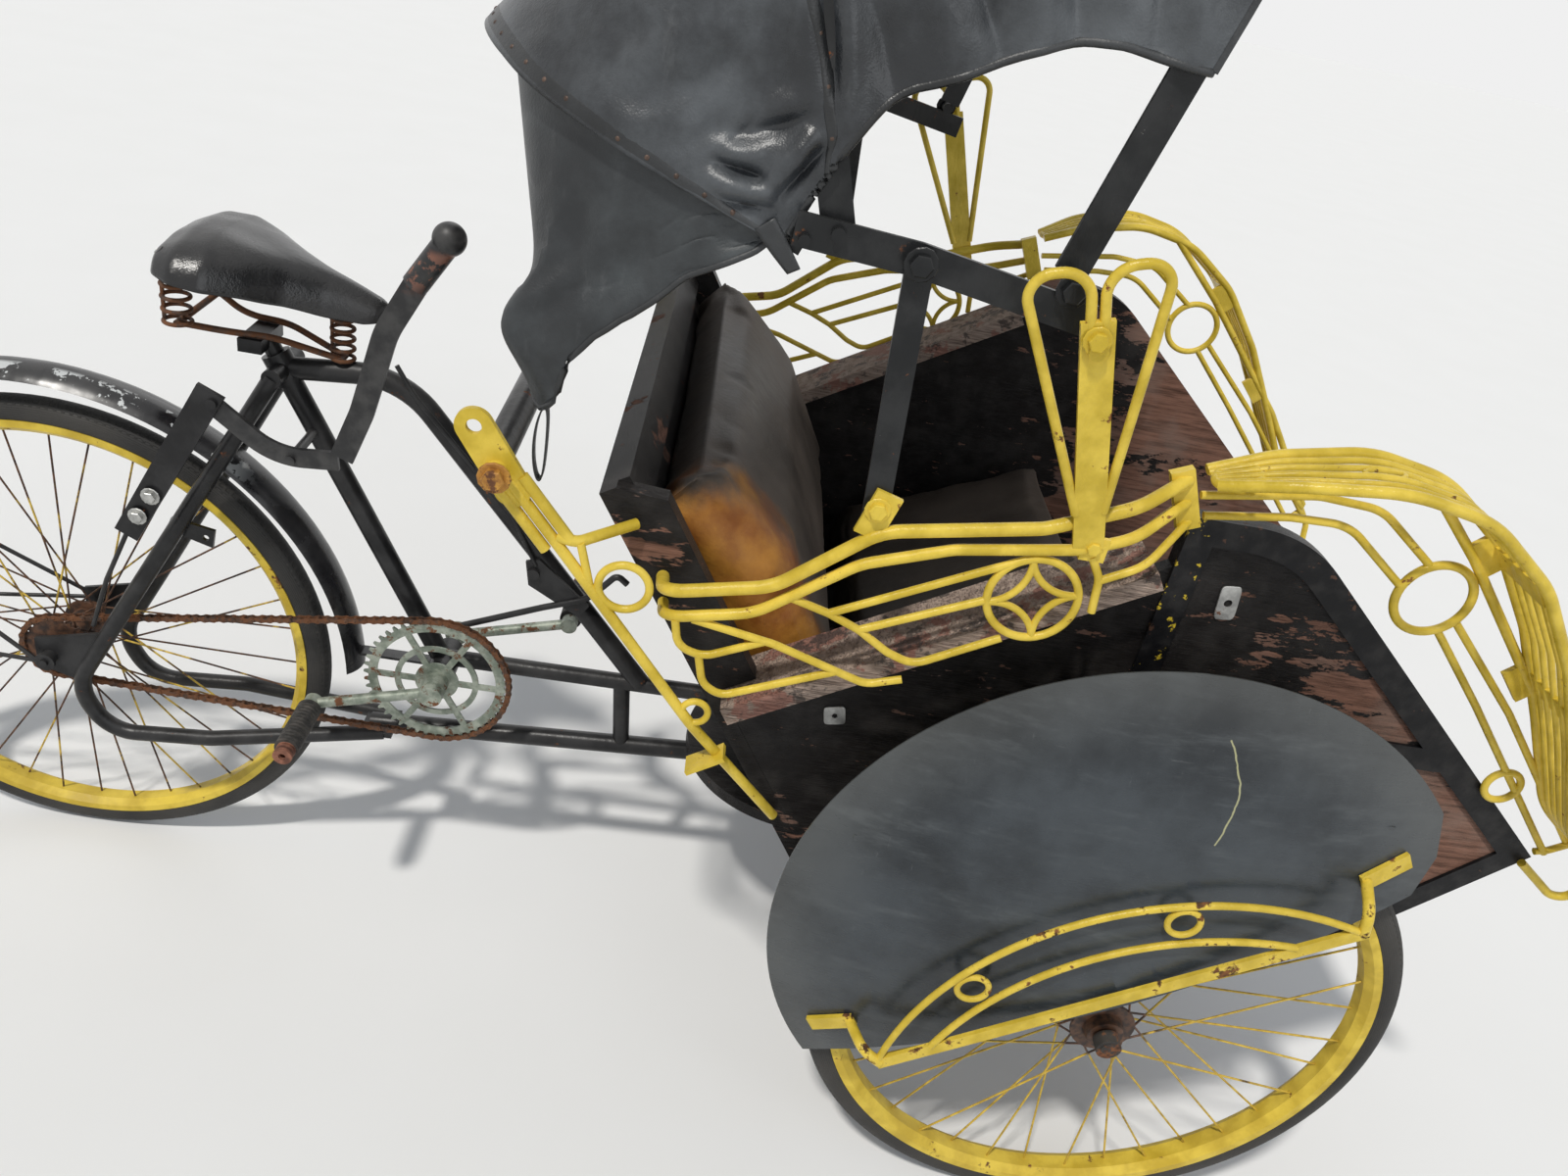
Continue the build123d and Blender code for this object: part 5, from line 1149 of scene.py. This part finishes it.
def chain_links():
    """The chain: its side plates, the riveted ends of its pins, and the rollers where they lie free, which
    are short open tubes round the pins."""
    pins = chain_line()
    count = len(pins)
    points, forms = link_plates(pins)
    faces = [repeated(form, points.shape[2] * 2, count * 2) for form in forms]
    obj = mesh_object("chain_links", points, faces, "rear_half", RUSTY, smooth=False)
    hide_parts("chain")
    ends = np.stack([np.insert(pins, 1, CHAIN_Y + side * 0.0044, axis=1) for side in (-1, 1)])
    facing = np.repeat([[0, -1.0, 0], [0, 1.0, 0]], count, axis=0)
    heads = domes("chain_pins", ends.reshape(-1, 3), facing, 0.0021, "rear_half", RUSTY)
    past_ring = np.linalg.norm(pins - CRANK, axis=1) - 0.103
    past_sprocket = np.linalg.norm(pins - SPROCKET, axis=1) - 0.051
    free = pins[np.minimum(past_ring, past_sprocket) > 0]
    sides = 8
    barrel = free[:, None, None] + np.stack([circle(sides) * 0.0030] * 2)
    depth = np.broadcast_to([[CHAIN_Y - 0.0026], [CHAIN_Y + 0.0026]], barrel.shape[:-1])
    grid = np.stack([barrel[..., 0], depth, barrel[..., 1]], -1)
    faces = repeated(grid_faces(2, sides, around=True)[:, ::-1], 2 * sides, len(free))
    rollers = mesh_object("chain_rollers", grid, [faces], "rear_half", RUSTY)


chain_links()
links = hexagon_heads("link_bolts", (
    (at(-1222, -103.4, 648), (0, -1, 0), 0.0080), (at(-1240, -103.4, 617), (0, -1, 0), 0.0080)),
    "rear_half", ZINC)


# Floor, light and camera

# How bright the background behind the floor's far edge is shown: as bright as the lit floor.
FLOOR_SHOWN = 0.87
# The fitted camera: its place, its axes, and its focal length and the picture's width, both in pixels.
CAMERA_PLACE = (-0.579 + SHIFT, -1.388, 1.4275)
CAMERA_RIGHT = (0.98329, 0.00177, 0.18202)
CAMERA_FORWARD = (0.09290, 0.85505, -0.51015)
FOCAL_PIXELS, PICTURE_PIXELS = 1203.6, 1600
SENSOR = 36.0


def stage_floor():
    """A plain pale floor."""
    t = Finish("floor_pale")
    speck = t.noise(3.0, 3.0)
    t.put(t.shader.inputs["Base Color"], t.mix(speck, (0.83, 0.83, 0.82), (0.86, 0.86, 0.855)))
    t.put(t.shader.inputs["Roughness"], 0.9)
    reach = 30.0
    mesh = bpy.data.meshes.new("floor")
    mesh.from_pydata([(-reach, -reach, 0), (reach, -reach, 0), (reach, reach, 0), (-reach, reach, 0)], [],
                     [(0, 1, 2, 3)])
    mesh.materials.append(t.material)
    floor = bpy.data.objects.new("floor", mesh)
    bpy.context.scene.collection.objects.link(floor)


def lamp(name, towards, strength, width, colour=(1, 1, 1)):
    """A distant lamp: the way from the object towards it, its strength, and its width in degrees."""
    data = bpy.data.lights.new(name, "SUN")
    data.angle = math.radians(width)
    data.energy = strength
    data.color = colour
    obj = bpy.data.objects.new(name, data)
    bpy.context.scene.collection.objects.link(obj)
    obj.rotation_mode = "QUATERNION"
    obj.rotation_quaternion = Vector(towards).to_track_quat("Z", "Y")


def light():
    """Soft studio light. The camera, metal and glass see a plain background as bright as the floor."""
    bpy.context.scene.view_settings.view_transform = "Standard"
    world = bpy.data.worlds.new("studio")
    bpy.context.scene.world = world
    world.use_nodes = True
    nodes = world.node_tree.nodes
    t = Nodes(world.node_tree, None)
    soft = nodes["Background"]
    t.put(soft.inputs["Color"], (0.88, 0.93, 1.0))
    t.put(soft.inputs["Strength"], 0.36)
    white = t.add("ShaderNodeBackground", {"Color": (1.0, 1.0, 1.0), "Strength": FLOOR_SHOWN})[0]
    rays = t.add("ShaderNodeLightPath", {})
    shown = t.sums("MAXIMUM", rays["Is Camera Ray"], rays["Is Transmission Ray"])
    shown = t.sums("MAXIMUM", shown, rays["Is Glossy Ray"])
    both = t.add("ShaderNodeMixShader", {0: shown, 1: soft.outputs[0], 2: white})[0]
    t.put(nodes["World Output"].inputs["Surface"], both)
    lamp("key", (-0.30, -0.42, 0.86), 2.10, 4.0, (1.0, 0.97, 0.92))
    lamp("fill", (0.55, -0.80, 0.45), 0.42, 40.0, (0.92, 0.96, 1.0))
    lamp("back", (0.10, 0.85, 0.55), 0.30, 40.0)


def photo_camera():
    """The camera at the photograph's place."""
    data = bpy.data.cameras.new("photo_camera")
    camera = bpy.data.objects.new("photo_camera", data)
    bpy.context.scene.collection.objects.link(camera)
    bpy.context.scene.camera = camera
    data.sensor_fit = "HORIZONTAL"
    data.sensor_width = SENSOR
    data.lens = SENSOR * FOCAL_PIXELS / PICTURE_PIXELS
    data.clip_start = 0.05
    data.clip_end = 100
    right = Vector(CAMERA_RIGHT).normalized()
    forward = Vector(CAMERA_FORWARD).normalized()
    up = right.cross(forward).normalized()
    turned = Matrix((right, up, -forward)).transposed().to_4x4()
    camera.matrix_world = Matrix.Translation(CAMERA_PLACE) @ turned


stage_floor()
light()
photo_camera()
